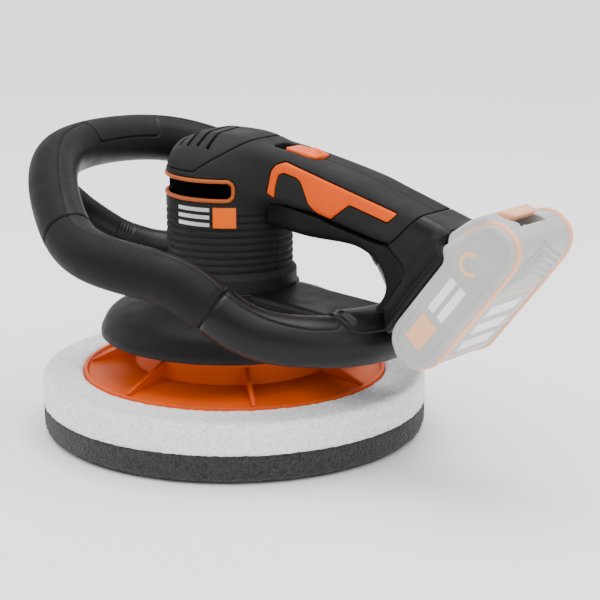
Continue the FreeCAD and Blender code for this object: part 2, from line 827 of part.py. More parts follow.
def side_label(start):
    """A thin printed label on one side of the motor housing, under the air slot."""
    low = d.slot_trim_low - 16
    label = revolved("side_label", [
        (d.housing_radius, low),
        (d.housing_radius + d.label_thickness, low),
        (d.housing_radius + d.label_thickness, low + 13),
        (d.housing_radius, low + 13),
    ], d.label_sweep)
    label.Placement = Placement(Vector(0, 0, 0), Rotation(Vector(0, 0, 1), start))
    return label


def side_insert(side):
    """The coloured trim let into one flank of the handle."""
    name = "handle_insert_right" if side > 0 else "handle_insert_left"
    half = d.handle_width.number / 2
    body = new_body(name)
    start = half if side > 0 else -half + 1.6
    padded_outline(body, "XZ_Plane", INSERT_OUTLINE, 1.6, offset=-start)
    return node(name, body)


# ---------------------------------------------------------------- slide switch
SWITCH_SLOPE = 7.8
SWITCH_PLACE = (62, 0, 189.6)


def on_switch_slope(obj):
    """Lay an object, modelled about its own origin, on the handle's top over the switch."""
    obj.Placement = Placement(Vector(*SWITCH_PLACE), Rotation(Vector(0, 1, 0), SWITCH_SLOPE))
    return obj


def switch_space():
    half = d.slider_width / 2 + 0.6
    space = side_prism("switch_recess", [(-19, -1.6), (18, -1.6), (18, 12), (-19, 12)], half * 2)
    stem_slot = side_prism("stem_slot", [(-14, -12), (14, -12), (14, 2), (-14, 2)], 7)
    return on_switch_slope(joined("switch_cut", space, stem_slot))


def build_switch():
    rear = 16.6
    front = rear - d.slider_length.number
    slider = side_prism("slider_plate", [
        (front, -1.2), (rear, -1.2), (rear, 0.6), (rear - 2, 2.6), (rear - 6, 3.6), (rear - 11, 3.6),
        (rear - 15, 1.6), (front + 3, 1.0), (front, 0.4)], d.slider_width)
    stem = side_prism("slider_stem", [(1, -9), (7, -9), (7, 1), (1, 1)], 6)
    node("switch_slider", on_switch_slope(joined("slider", slider, stem)))
    module = side_prism("switch_body", [(-16, -22), (15, -22), (15, -11), (-16, -11)], 16)
    node("switch_module", on_switch_slope(module))


LEAD_ROUTES = [
    [(75.2, 3, 171), (92, 3, 162), (118, 3, 158), (137, 3, 152), (149, 3, 142), (154.3, 3, 128),
     (152.6, 3, 118)],
    [(42.4, 3, 176), (38, 3, 180.4), (31, 3, 183.6), (26, 3, 180.8)],
]


def build_leads():
    """The insulated wires from the contact block to the switch and from there to the motor."""
    leads = []
    for number, route in enumerate(LEAD_ROUTES):
        points = [Vector(*point) for point in route]
        corners = points[1:-1]
        middles = [points[0]]
        for before, after in zip(corners, corners[1:]):
            middles.append((before + after) * 0.5)
        middles.append(points[-1])
        spine = rounded_path("lead_spine", corners, middles)
        lead = swept_tube("lead_%d" % number, spine, d.lead_radius)
        leads += [lead, mirrored("lead_%d_right" % number, lead)]
    node("power_leads", group("lead_set", leads))


# ---------------------------------------------------------------- liner of the D-handle, bridge, base
def build_liner(loop_solid):
    right_loop = mirrored("loop_solid_mirror", loop_solid)
    barrel = ring("housing_space", 0, d.housing_radius, 90, 120)
    foot = ring("foot_space", 0, d.housing_foot_radius, 90, 30)
    liner = rounded_side_prism("liner_blank", LINER_OUTER + LINER_INNER, d.liner_width, 3)
    bridge = side_prism("bridge_blank", BRIDGE_OUTLINE, d.bridge_width)
    node("handle_liner", cut("liner_trimmed", liner, barrel, foot, bridge, loop_solid, right_loop,
                             nodes["power_leads"]))
    base = rounded_side_prism("base_blank", BASE_OUTLINE, d.base_width, 3)
    node("battery_base", cut("base_trimmed", base, rail_channel(), nodes["power_leads"]))
    cavity = side_prism("bridge_cavity", [(60, 93.5), (112, 91), (112, 82), (60, 82)], d.bridge_width - 6)
    node("lower_bridge", cut("bridge_trimmed", bridge, cavity, foot, shroud_space("bridge_skirt"), barrel,
                             loop_solid, right_loop))


# ---------------------------------------------------------------- dock and battery, in the dock's frame
# In this frame X runs up the dock, away from the tool's foot, and Z points into the tool.
def in_dock(obj):
    place = Vector(d.dock_start.number, 0, d.dock_height.number)
    obj.Placement = Placement(place, Rotation(Vector(0, 1, 0), -d.dock_tilt.number))
    return obj


def rail_channel():
    """What is cut from the base: the channel for the battery's rail."""
    half = d.rail_width / 2 + d.rail_gap
    channel = side_prism("rail_channel", [
        (4 - d.rail_gap, -2), (90, -2), (90, d.rail_depth + d.rail_gap),
        (4 - d.rail_gap, d.rail_depth + d.rail_gap)], half * 2)
    return in_dock(channel)


def build_dock():
    low = d.rail_depth - 3
    block_body = side_prism("contact_block", [(4, low), (14, low), (14, low + 3.2), (4, low + 3.2)], 22)
    node("terminal_block", in_dock(block_body))


def battery_outline():
    low = -d.battery_depth
    return [
        (4, -0.6),
        (-1.5, -2.2),
        (-6.5, -5.8),
        (-11, -14.5),
        (-9.5, -24),
        (-3.5, -31.5),
        (5, low),
        (88, low),
        (97.5, -32),
        (102, -25.5),
        (102, -15),
        (96.5, -6.5),
        (63.8, 6.3),
        (58.4, -0.6),
    ]


def build_battery():
    body = side_prism("battery_blank", battery_outline(), d.battery_width)
    rail = side_prism("battery_rail", [(4, -3), (62, -3), (62, d.rail_depth), (6, d.rail_depth)],
                      d.rail_width)
    crown = rounded_side_prism("battery_crown", [(62, -3), (96, -8), (94, 1), (84, 6), (66.5, 11), (62, 8)],
                               d.base_width - 10, 2)
    solid = joined("battery_solid", body, rail, crown)
    left_cheek = cheek_space(1)
    right_cheek = cheek_space(-1)
    cavity = side_prism("battery_cavity", [
        (4, -3), (-3, -6), (-7.5, -14.5), (-6, -23), (-1, -29), (6, -32.5), (87, -32.5), (95, -29.5),
        (98.5, -24), (98.5, -16), (93, -10), (63, 2), (57, -3)], d.battery_width - 14)
    hollow = cut("battery_hollow", solid, left_cheek, right_cheek, cavity, button_space())
    split = block("battery_split", (-40, -60, -60), (140, 60, -17))
    lower = shared("battery_lower", hollow, split)
    trims = [battery_trim(side) for side in (1, -1)]
    node("battery_lower_shell", in_dock(cut("battery_lower_trimmed", lower, *trims)))
    latch_slot = block("latch_slot", (48.5, -4.5, -10), (56.5, 4.5, 20))
    arm_space = block("arm_space", (50, -4.5, -10), (94, 4.5, -3.2))
    contact_pocket = block("contact_pocket", (2, -12, d.rail_depth - 9.6), (30, 12, d.rail_depth + 2))
    node("battery_upper_shell", in_dock(cut("battery_upper", hollow, split, latch_slot, arm_space,
                                            contact_pocket)))
    node("battery_trims", in_dock(group("trim_set", trims)))
    for side, name in ((1, "battery_cheek_right"), (-1, "battery_cheek_left")):
        node(name, in_dock(shared(name + "_shape", solid, cheek_space(side))))
    build_battery_inside()
    build_button()


def battery_trim(side):
    """A coloured strip along the pack's outer edge, beside one cheek."""
    low = -d.battery_depth
    depth = 2
    body = new_body("battery_trim")
    start = d.battery_face_width.number / 2 if side > 0 else -d.battery_face_width.number / 2 + depth
    padded_outline(body, "XZ_Plane", [
        (-3.5, -31.5), (5, low), (88, low), (97.5, -32), (102, -25.5), (100, -25.5), (96.4, -30.4),
        (87.6, low + depth), (5.4, low + depth), (-2.2, -30)], depth, offset=-start)
    return body


def cheek_space(side):
    """The slab that one side cheek of the pack takes up."""
    half = d.battery_width / 2
    low, high = (half - 5, half + 5) if side > 0 else (-half - 5, -half + 5)
    return block("cheek_slab", (-40, low, -60), (140, high, 8))


def build_battery_inside():
    pitch = d.cell_radius * 2 + 0.5
    cells = []
    for number in range(5):
        across = 7 + pitch * number
        cell = doc.addObject("Part::Cylinder", "cell")
        bind(cell, "Radius", d.cell_radius)
        bind(cell, "Height", d.cell_length)
        cell.Placement = Placement(Vector(0, 0, -19), Rotation(Vector(1, 0, 0), 90))
        bind_place(cell, "x", across)
        bind_place(cell, "y", d.cell_length / 2)
        cells.append(cell)
    node("battery_cells", in_dock(group("cell_set", cells)))
    holder = side_prism("holder_bar", [(-1, -9.6), (83, -9.6), (83, -6.4), (-1, -6.4)], d.battery_width - 18)
    window = block("holder_window", (47, -6, -12), (90, 6, 0))
    node("cell_holder", in_dock(cut("holder_cut", holder, window)))
    blades = []
    for across in (-8, 0, 8):
        low = (16, across - 0.6, d.rail_depth - 9.6)
        blades.append(block("blade", low, (26, across + 0.6, d.rail_depth - 1)))
    node("battery_terminals", in_dock(group("blade_set", blades)))


BUTTON_OUTLINE = [(86, 4.6), (97, -1), (103, -9), (101, -12), (93, -7), (86, 0)]


def button_space():
    outline = [(85.4, 9), (106, 5), (106, -16.8), (101, -16.8), (92.4, -10.9), (85.4, -4)]
    return side_prism("button_gap", outline, 25)


def build_button():
    cap = side_prism("button_cap", BUTTON_OUTLINE, 24)
    node("release_button", in_dock(cap))
    hook = side_prism("hook", [
        (50, -6), (92, -6), (90, -4), (55, -4), (55, d.rail_depth - 2.4), (53, d.rail_depth - 0.2),
        (50, d.rail_depth - 0.2)], 8)
    node("latch_hook", in_dock(hook))
    spring = ring("spring", 1.6, 2.5, 0, 13)
    spring.Placement = Placement(Vector(94, 0, -27), Rotation())
    node("button_spring", in_dock(group("spring_set", [spring])))


# ---------------------------------------------------------------- shroud
def shroud_outer():
    return [
        (d.shroud_radius, d.shroud_low),
        (d.shroud_radius, d.shroud_low + d.shroud_rim),
        (81, 77),
        (72, 82.6),
        (58, 86.6),
        (49, 89.5),
        (d.housing_foot_radius + 2, d.shroud_top),
    ]


def shroud_space(name):
    """All that the shroud takes up, hollow and all."""
    return revolved(name, shroud_outer() + [(0, d.shroud_top), (0, d.shroud_low)])


def build_shroud():
    thick = 2.6
    inner = [
        (36, d.shroud_top),
        (36, d.shroud_top - 3),
        (d.housing_foot_radius - 0.5, d.shroud_top - 3),
        (46.2, 87.9),
        (57.2, 84),
        (70.9, 80.1),
        (78.6, 75.4),
        (d.shroud_radius - thick, d.shroud_low + d.shroud_rim - 1.2),
        (d.shroud_radius - thick, d.shroud_low),
    ]
    skirt = revolved("skirt", shroud_outer() + inner)
    node("shroud", cut("skirt_drilled", skirt, nodes["shroud_screws"]))


def build_shroud_screws():
    """Four screws that come up through the shroud's flange into the foot of the motor housing."""
    reach = 40.6
    head_face = d.shroud_top.number - 5.4
    screws = []
    for turn in (45, 135, 225, 315):
        across = reach * math.cos(math.radians(turn))
        along = reach * math.sin(math.radians(turn))
        screws.append(screw("shroud_screw", (across, along, d.housing_foot_top.number - 1),
                            (across, along, head_face)))
    node("shroud_screws", group("shroud_screw_set", screws))


def check_and_export():
    """Stop on any failed object or broken shape, then write one file for each sub-part."""
    doc.recompute()
    for obj in doc.Objects:
        if "Invalid" in obj.State or "Error" in obj.State:
            raise RuntimeError("failed object: %s (%s)" % (obj.Label, obj.State))
    for name, obj in nodes.items():
        shape = obj.Shape
        if shape.isNull() or not shape.isValid() or not shape.Solids:
            raise RuntimeError("bad shape: " + name)
        print("%-24s solids %2d  volume %9.0f" % (name, len(shape.Solids), shape.Volume))
    os.makedirs("parts", exist_ok=True)
    for name, obj in nodes.items():
        obj.Shape.exportStep("parts/%s.step" % name)


build_pad()
build_plate()
build_rotor()
build_motor()
loop = build_loop()
build_strut(loop)
build_shroud_screws()
build_leads()
build_casing(loop)
build_switch()
build_dock()
build_battery()
build_shroud()
check_and_export()
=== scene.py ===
import json
import math

import bpy
import numpy as np
import openvdb
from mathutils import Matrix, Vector


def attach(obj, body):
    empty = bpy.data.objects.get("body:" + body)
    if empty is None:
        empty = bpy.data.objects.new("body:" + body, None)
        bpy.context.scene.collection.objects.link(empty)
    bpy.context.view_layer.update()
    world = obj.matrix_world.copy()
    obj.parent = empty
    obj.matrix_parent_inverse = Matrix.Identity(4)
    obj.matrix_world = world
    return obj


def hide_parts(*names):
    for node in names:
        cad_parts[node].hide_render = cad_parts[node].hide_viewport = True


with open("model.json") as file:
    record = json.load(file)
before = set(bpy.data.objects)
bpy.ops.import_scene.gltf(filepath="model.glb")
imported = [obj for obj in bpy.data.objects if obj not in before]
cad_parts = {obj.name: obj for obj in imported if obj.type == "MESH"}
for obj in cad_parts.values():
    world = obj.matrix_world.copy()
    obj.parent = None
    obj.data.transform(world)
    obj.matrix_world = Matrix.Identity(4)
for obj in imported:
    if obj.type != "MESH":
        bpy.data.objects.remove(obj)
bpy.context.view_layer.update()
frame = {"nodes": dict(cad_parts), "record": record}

MM = 0.001


# Camera, light and floor, in metres. The lens is in millimetres

CAMERA_PLACE, CAMERA_TARGET = (0.7385, -0.8086, 0.3630), (0.0224, 0.0448, 0.0780)
CAMERA_LENS, CAMERA_SENSOR = 102.03, 36.0
LIGHTS_TARGET = (0.02, 0.0, 0.08)
FLOOR_SIZE, FLOOR_RISE, FLOOR_STEPS, FLOOR_GAP = 6.0, 3.0, 24, 0.0002


def look_at(obj, place, target):
    """Places a camera or a light and turns it towards a point."""
    obj.location = place
    obj.rotation_euler = (Vector(target) - Vector(place)).to_track_quat("-Z", "Y").to_euler()


def make_camera():
    data = bpy.data.cameras.new("camera")
    data.lens = CAMERA_LENS
    data.sensor_width = CAMERA_SENSOR
    data.clip_end = 50.0
    camera = bpy.data.objects.new("camera", data)
    bpy.context.scene.collection.objects.link(camera)
    look_at(camera, CAMERA_PLACE, CAMERA_TARGET)
    bpy.context.scene.camera = camera


def area_light(name, place, size, power):
    data = bpy.data.lights.new(name, "AREA")
    data.shape = "RECTANGLE"
    data.size, data.size_y = size
    data.energy = power
    light = bpy.data.objects.new(name, data)
    bpy.context.scene.collection.objects.link(light)
    look_at(light, place, LIGHTS_TARGET)


def make_lights():
    world = bpy.data.worlds.new("studio")
    bpy.context.scene.world = world
    world.use_nodes = True
    background = world.node_tree.nodes["Background"]
    background.inputs["Color"].default_value = (1.0, 1.0, 1.0, 1.0)
    background.inputs["Strength"].default_value = 0.85
    area_light("top_softbox", (0.0, 0.3, 1.6), (1.2, 0.9), 15.0)
    area_light("left_softbox", (-1.3, -0.9, 0.9), (0.7, 1.0), 6.0)
    area_light("right_softbox", (1.6, -0.3, 0.8), (0.5, 1.1), 6.0)
    sun = bpy.data.lights.new("studio_wash", "SUN")
    sun.energy = 3.0
    sun.angle = math.radians(75)
    wash = bpy.data.objects.new("studio_wash", sun)
    bpy.context.scene.collection.objects.link(wash)
    look_at(wash, (0.1, -0.3, 2.0), LIGHTS_TARGET)


def make_floor():
    """A plain pale floor that curves up into a backdrop far behind the object."""
    profile = [(-FLOOR_SIZE, 0.0)]
    for step in range(FLOOR_STEPS + 1):
        a = math.pi / 2 * step / FLOOR_STEPS
        profile.append((FLOOR_SIZE - FLOOR_RISE * (1 - math.sin(a)), FLOOR_RISE * (1 - math.cos(a))))
    view = Vector(CAMERA_TARGET) - Vector(CAMERA_PLACE)
    back = Vector((view.x, view.y, 0)).normalized()
    side = Vector((back.y, -back.x, 0))
    verts, faces = [], []
    for along, up in profile:
        for across in (-FLOOR_SIZE, FLOOR_SIZE):
            verts.append(back * along + side * across + Vector((0, 0, up - FLOOR_GAP)))
    for i in range(len(profile) - 1):
        faces.append((2 * i, 2 * i + 1, 2 * i + 3, 2 * i + 2))
    floor = mesh_object("floor", verts, faces)
    floor.data.materials.append(material("pale_floor", (0.96, 0.96, 0.96), 0.9, grain=0, mottle=0.0))


# Materials

class Nodes:
    """Short names for the node calls that every material makes."""

    def __init__(self, name):
        self.material = bpy.data.materials.new(name)
        self.material.use_nodes = True
        self.tree = self.material.node_tree
        self.shader = self.tree.nodes["Principled BSDF"]
        self.coords = self.tree.nodes.new("ShaderNodeTexCoord").outputs["Object"]

    def link(self, source, target):
        self.tree.links.new(source, target)

    def noise(self, scale, detail=3.0, roughness=0.55):
        node = self.tree.nodes.new("ShaderNodeTexNoise")
        node.inputs["Scale"].default_value = scale
        node.inputs["Detail"].default_value = detail
        node.inputs["Roughness"].default_value = roughness
        self.link(self.coords, node.inputs["Vector"])
        return node.outputs["Fac"]

    def cells(self, scale):
        node = self.tree.nodes.new("ShaderNodeTexVoronoi")
        node.inputs["Scale"].default_value = scale
        self.link(self.coords, node.inputs["Vector"])
        return node.outputs["Distance"]

    def remap(self, value, low, high, to_low, to_high):
        node = self.tree.nodes.new("ShaderNodeMapRange")
        ends = {"From Min": low, "From Max": high, "To Min": to_low, "To Max": to_high}
        for key, number in ends.items():
            node.inputs[key].default_value = number
        self.link(value, node.inputs["Value"])
        return node.outputs["Result"]

    def mix(self, factor, first, second):
        """A colour mix. A colour is an output socket or three numbers."""
        node = self.tree.nodes.new("ShaderNodeMix")
        node.data_type = "RGBA"
        self.link(factor, node.inputs["Factor"])
        for socket, colour in ((node.inputs[6], first), (node.inputs[7], second)):
            if isinstance(colour, (tuple, list)):
                socket.default_value = (*colour, 1.0)
            else:
                self.link(colour, socket)
        return node.outputs[2]

    def math(self, operation, first, second):
        node = self.tree.nodes.new("ShaderNodeMath")
        node.operation = operation
        for socket, value in zip(node.inputs, (first, second)):
            if isinstance(value, (int, float)):
                socket.default_value = value
            else:
                self.link(value, socket)
        return node.outputs[0]

    def edge_highlight_mask(self, low, high):
        """1 on sharp outside edges and 0 on flat faces: the mask of the painted edge highlight."""
        geometry = self.tree.nodes.new("ShaderNodeNewGeometry")
        return self.remap(geometry.outputs["Pointiness"], low, high, 0.0, 1.0)

    def bump(self, height, strength, distance, under=None):
        node = self.tree.nodes.new("ShaderNodeBump")
        node.inputs["Strength"].default_value = strength
        node.inputs["Distance"].default_value = distance
        self.link(height, node.inputs["Height"])
        if under is not None:
            self.link(under, node.inputs["Normal"])
        return node.outputs["Normal"]


ROUGHNESS_SPREAD = 0.08


def material(name, colour, roughness, grain=0.3, grain_scale=1800.0, mottle=0.10, edge=0.0,
             metallic=0.0, sheen=0.0, specular=0.5):
    """A moulded or machined finish: a fine grain, a slight mottle, and sharp edges painted paler as a
    painted highlight.
    """
    made = Nodes(name)
    shader = made.shader
    dark = tuple(c * (1 - mottle) for c in colour)
    pale = tuple(min(1.0, c * (1 + mottle)) for c in colour)
    clouds = made.noise(28.0, 4.0)
    tone = made.mix(made.remap(clouds, 0.3, 0.7, 0.0, 1.0), dark, pale)
    # painted highlight: sharp outside edges are made paler, standing in for light caught on rims and edges
    if edge > 0:
        edge_highlight_tone = tuple(min(1.0, c * 1.6 + 0.03) for c in colour)
        factor = made.math("MULTIPLY", made.edge_highlight_mask(0.52, 0.60), edge)
        tone = made.mix(factor, tone, edge_highlight_tone)
    made.link(tone, shader.inputs["Base Color"])
    smears = made.noise(75.0, 5.0, 0.6)
    smooth, rough = max(0.02, roughness - ROUGHNESS_SPREAD), min(1.0, roughness + ROUGHNESS_SPREAD)
    made.link(made.remap(smears, 0.3, 0.7, smooth, rough), shader.inputs["Roughness"])
    shader.inputs["Metallic"].default_value = metallic
    shader.inputs["Specular IOR Level"].default_value = specular
    if sheen > 0:
        shader.inputs["Sheen Weight"].default_value = sheen
        shader.inputs["Sheen Roughness"].default_value = 0.5
    if grain > 0:
        fine = made.bump(made.noise(grain_scale, 2.0), grain, 0.00012)
        waves = made.bump(made.noise(60.0, 2.0), 0.08, 0.0006, under=fine)
        made.link(waves, shader.inputs["Normal"])
    return made.material


def foam(name, colour, pore_shade, size, depth):
    """Open-cell foam: rough, with small pores painted dark as painted shade, each about this size, and
    uneven patches.
    """
    made = Nodes(name)
    shader = made.shader
    bubbles = made.cells(1.0 / size)
    # painted shade: the cells' centres are darkened to the pore colour, standing in for the shade inside
    # the pores
    pore_shade_mask = made.remap(bubbles, 0.10, 0.60, 0.0, 1.0)
    patches = made.remap(made.noise(0.4 / size, 4.0, 0.7), 0.35, 0.65, 0.0, 1.0)
    paleness = made.math("ADD", made.math("MULTIPLY", pore_shade_mask, 0.6), made.math("MULTIPLY", patches, 0.4))
    tone = made.mix(paleness, pore_shade, colour)
    made.link(tone, shader.inputs["Base Color"])
    shader.inputs["Roughness"].default_value = 0.95
    shader.inputs["Specular IOR Level"].default_value = 0.15
    shader.inputs["Sheen Weight"].default_value = 0.15
    shallow = made.bump(made.noise(0.5 / size, 5.0, 0.7), 0.5, size * 0.5)
    made.link(made.bump(bubbles, 1.0, depth, under=shallow), shader.inputs["Normal"])
    return made.material


def make_finishes():
    orange = (0.80, 0.088, 0.0)
    # painted highlight: each edge value paints sharp outside edges paler, most on the shroud's rim
    return {
        "face_felt": material("face_felt", (0.060, 0.055, 0.050), 0.95, 1.0, 900.0, 0.2, sheen=0.1),
        "grey_foam": foam("grey_foam", (0.048, 0.048, 0.045), (0.006, 0.006, 0.006), 0.0013, 0.0008),
        "white_foam": foam("white_foam", (1.0, 1.0, 1.0), (0.60, 0.62, 0.64), 0.0018, 0.0005),
        "orange_plate": material("orange_plate", (0.62, 0.072, 0.0), 0.5, 0.25, edge=0.4, specular=0.15),
        "steel": material("steel", (0.55, 0.55, 0.56), 0.3, 0.1, metallic=1.0),
        "cast_metal": material("cast_metal", (0.32, 0.32, 0.33), 0.5, 0.6, metallic=1.0),
        "inner_plastic": material("inner_plastic", (0.03, 0.03, 0.03), 0.5),
        "laminations": material("laminations", (0.25, 0.25, 0.26), 0.4, metallic=1.0),
        "copper": material("copper", (0.72, 0.33, 0.16), 0.35, metallic=1.0),
        "magnet": material("magnet", (0.10, 0.10, 0.11), 0.6),
        "rubber": material("rubber", (0.02, 0.02, 0.02), 0.7),
        "carbon": material("carbon", (0.03, 0.03, 0.03), 0.55),
        "brass": material("brass", (0.70, 0.52, 0.22), 0.3, metallic=1.0),
        "soft_grip": material("soft_grip", (0.0075, 0.0078, 0.0077), 0.58, 0.5, edge=0.2, specular=0.12),
        "grip_inner": material("grip_inner", (0.0070, 0.0072, 0.0072), 0.45, 0.3, edge=0.2, specular=0.14),
        "black_plastic": material("black_plastic", (0.0055, 0.0057, 0.0057), 0.38, 0.25, edge=0.2,
                                  specular=0.18),
        "shroud_plastic": material("shroud_plastic", (0.0100, 0.0102, 0.0102), 0.55, 0.4, edge=0.6,
                                   specular=0.12),
        # painted shade: near-black, for sheets that stand in for the shade inside openings
        "painted_shade_black": material("painted_shade_black", (0.0008, 0.0008, 0.0008), 0.9, grain=0, specular=0.02),
        "casing_plastic": material("casing_plastic", (0.0190, 0.0194, 0.0194), 0.58, 0.6, 1500.0, edge=0.2,
                                   specular=0.08),
        "badge_plastic": material("badge_plastic", (0.013, 0.013, 0.013), 0.6, 1.0, 900.0, specular=0.12),
        "orange_trim": material("orange_trim", orange, 0.45, 0.2, edge=0.3, specular=0.15),
        "slot_rail": material("slot_rail", (0.42, 0.085, 0.010), 0.45, 0.2, edge=0.2, specular=0.3),
        "orange_switch": material("orange_switch", orange, 0.35, 0.1, edge=0.3, specular=0.3),
        "label_print": material("label_print", (1.0, 0.14, 0.0), 0.4, 0.1, specular=0.15),
        "silver_print": material("silver_print", (0.70, 0.71, 0.72), 0.35, 0.2, metallic=0.3),
        "lead_rubber": material("lead_rubber", (0.30, 0.01, 0.01), 0.5),
        "pack_grey": material("pack_grey", (0.46, 0.46, 0.455), 0.5, 0.35, edge=0.2),
        "pack_cheek": material("pack_cheek", (0.44, 0.44, 0.435), 0.5, 0.35, edge=0.2),
        "pack_orange": material("pack_orange", (0.97, 0.47, 0.26), 0.45, 0.25, edge=0.2, specular=0.2),
        "face_print": material("face_print", (0.86, 0.55, 0.40), 0.4, 0.1),
        "face_ink": material("face_ink", (0.93, 0.93, 0.93), 0.4, 0.1),
        "cell_wrap": material("cell_wrap", (0.1, 0.25, 0.4), 0.4),
    }


# Meshes

def mesh_object(name, verts, faces, smooth=True):
    data = bpy.data.meshes.new(name)
    data.from_pydata([tuple(v) for v in verts], [], [tuple(f) for f in faces])
    data.update()
    if smooth:
        data.polygons.foreach_set("use_smooth", [True] * len(data.polygons))
    obj = bpy.data.objects.new(name, data)
    bpy.context.scene.collection.objects.link(obj)
    return obj


def paint_cad_nodes(finishes):
    """Every CAD node that shows gets the procedural finish of its record slot."""
    slots = {part["node"]: part["material_slot"] for part in frame["record"]["subparts"]}
    for node, obj in frame["nodes"].items():
        obj.data.materials.clear()
        obj.data.materials.append(finishes[slots[node]])


# Shapes described by signed distance, in millimetres: below zero inside, above zero outside

class Field:
    """A block of sample points. x, y and z broadcast against each other."""

    def __init__(self, low, high, step):
        self.low = np.array(low, np.float32)
        self.step = step
        spans = (np.arange(a, b + step, step, dtype=np.float32) for a, b in zip(low, high))
        self.x, self.y, self.z = np.meshgrid(*spans, indexing="ij", sparse=True)


def outline_distance(points, u, v):
    """Distance to a closed polygon in a plane."""
    nearest = np.float32(1e9)
    inside = np.zeros(np.broadcast_shapes(u.shape, v.shape), bool)
    for (u1, v1), (u2, v2) in zip(points, points[1:] + points[:1]):
        du, dv = u2 - u1, v2 - v1
        t = np.clip(((u - u1) * du + (v - v1) * dv) / max(du * du + dv * dv, 1e-9), 0, 1)
        nearest = np.minimum(nearest, (u - u1 - t * du) ** 2 + (v - v1 - t * dv) ** 2)
        if v1 != v2:
            inside ^= ((v1 > v) != (v2 > v)) & (u < u1 + du * (v - v1) / dv)
    return np.where(inside, -1, 1) * np.sqrt(nearest)


def rounded_both(a, b, radius):
    """What lies in both shapes, with the corner between them rounded."""
    u, v = np.maximum(a + radius, 0), np.maximum(b + radius, 0)
    return np.minimum(np.maximum(a, b), -radius) + np.sqrt(u * u + v * v)


def blended(a, b, reach):
    """Both shapes together, with a fillet that reaches this far."""
    h = np.maximum(reach - np.abs(a - b), 0) / reach
    return np.minimum(a, b) - h * h * reach * 0.25


def slab(field, points, half_width, rounding):
    """An outline in the x, z plane, given a width about y = 0 and rounded flanks."""
    flat = outline_distance(points, field.x, field.z)
    return rounded_both(flat, np.abs(field.y) - half_width, rounding)


def axis_radius(field):
    """Distance from the housing's axis."""
    return np.sqrt(field.x ** 2 + field.y ** 2)


def turned(field, points):
    """A profile in the (radius, z) plane turned about the housing's axis."""
    radii = np.arange(-1, 140, 0.25, dtype=np.float32)
    table = outline_distance(points, radii[:, None], field.z.reshape(1, -1))
    radius = axis_radius(field)[:, :, 0]
    layers = [np.interp(radius, radii, table[:, k]) for k in range(table.shape[1])]
    return np.stack(layers, axis=2).astype(np.float32)


def box_distance(field, low, high, rounding):
    """A box with rounded edges between two corners."""
    parts = []
    for axis, a, b in zip((field.x, field.y, field.z), low, high):
        parts.append(np.abs(axis - (a + b) / 2) - (b - a) / 2)
    return rounded_both(rounded_both(parts[0], parts[1], rounding), parts[2], rounding)


def skin(name, field, distance, finish, node_names, body="tool", place=None):
    """The surface of a described shape, as a piece that stands for the named CAD nodes.

    place turns a point of the field's own frame, in millimetres, into one of the tool's, in metres.
    """
    grid = openvdb.FloatGrid(3 * field.step)
    grid.copyFromArray(np.clip(distance, -3 * field.step, 3 * field.step).astype(np.float32))
    points, triangles, quads = grid.convertToPolygons(isovalue=0.0, adaptivity=0.0)
    points = points * field.step + field.low
    verts = [place(*point) for point in points] if place else points * MM
    faces = [tuple(f) for f in quads.tolist()] + [tuple(f) for f in triangles.tolist()]
    return finished(mesh_object(name, verts, faces), finish, node_names, body)


def finished(obj, finish, node_names=(), body="tool"):
    """Gives a new piece its finish, its body, and the CAD nodes it stands for."""
    obj.data.materials.append(finishes[finish])
    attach(obj, body)
    if node_names:
        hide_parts(*node_names)
    return obj


# Outlines of the tool's body in the x, z plane, in millimetres

HANDLE_TOP = [(-10, 194.3), (18, 194.3), (42, 192.4), (73, 188), (113.5, 180), (136, 173.5), (166, 164.5),
              (190, 157)]
# the handle's underside, back to the housing
HANDLE_FOOT = [(172, 140), (150, 142), (133, 144), (99, 151), (87, 154), (60, 156.5), (-10, 156.5)]
HANDLE_HOLLOW = [(0, 190), (40, 188), (73, 183.5), (113, 175.5), (136, 169.5), (150, 163), (146, 150),
                 (133, 147), (99, 154), (87, 157), (0, 159.5)]
CASING_REGION = [(-60, 90), (60, 90), (60, 156.4), (87, 153.8), (99, 150.8), (133, 143.9), (144, 143.9),
                 (150, 149), (166, 164.5), (176, 210), (-60, 210)]
COVER_REGION = [(-60, 175.2), (5, 175.2), (38, 200), (38, 215), (-60, 215)]
LINER_OUTER = [(36, 156.1), (60, 156.1), (87, 153.5), (99, 150.4), (133, 143.5), (143.6, 142.2),
               (154.6, 134), (156.4, 130), (154.6, 124), (139, 100.2)]
LINER_INNER = [(127, 98.6), (137, 110), (139.2, 119), (134.6, 129), (125, 135.5), (112, 138.8),
               (88, 139), (36, 139)]
BASE_OUTLINE = [(166.4, 164.4), (180, 160.3), (188.6, 158.2), (187.3, 150.5), (192, 143.3), (155.9, 98.2),
                (150.6, 91.6), (145.9, 96), (139.2, 100.4), (155.3, 124), (157.3, 130), (155.3, 134.2),
                (144.4, 143.6), (150.5, 148.6)]
LINER_GROWN = [(36, 172), (150, 160), (178, 134), (150, 100), (142, 86), (124, 86)]
BASE_GROWN = [(138, 172.9), *BASE_OUTLINE[:9], (122, 118), (118, 152)]
BRIDGE_OUTLINE = [(36, 98), (56, 97), (118, 94), (130, 99.6), (130, 84), (116, 78), (36, 78)]
INSERT_OUTLINE = [(49.5, 164.1), (54.9, 161.4), (56.2, 169.5), (58.6, 176.6), (62.8, 178.6), (73.4, 176.7),
                  (77, 174.4), (80.5, 166.9), (82.9, 161.7), (87.5, 156.2), (99.2, 153.6), (108.2, 159.9),
                  (115.1, 164.9), (143.9, 157.9), (150.8, 163.7), (117.2, 172.3), (77, 182), (64, 185.1),
                  (56.8, 182.5), (53.2, 178.4)]
DOME = [(41.5, 152), (41.5, 168), (40.7, 175), (38.4, 181.5), (34.6, 187.4), (29.0, 191.4), (20, 193.6),
        (8, 194.4), (0, 194.5)]
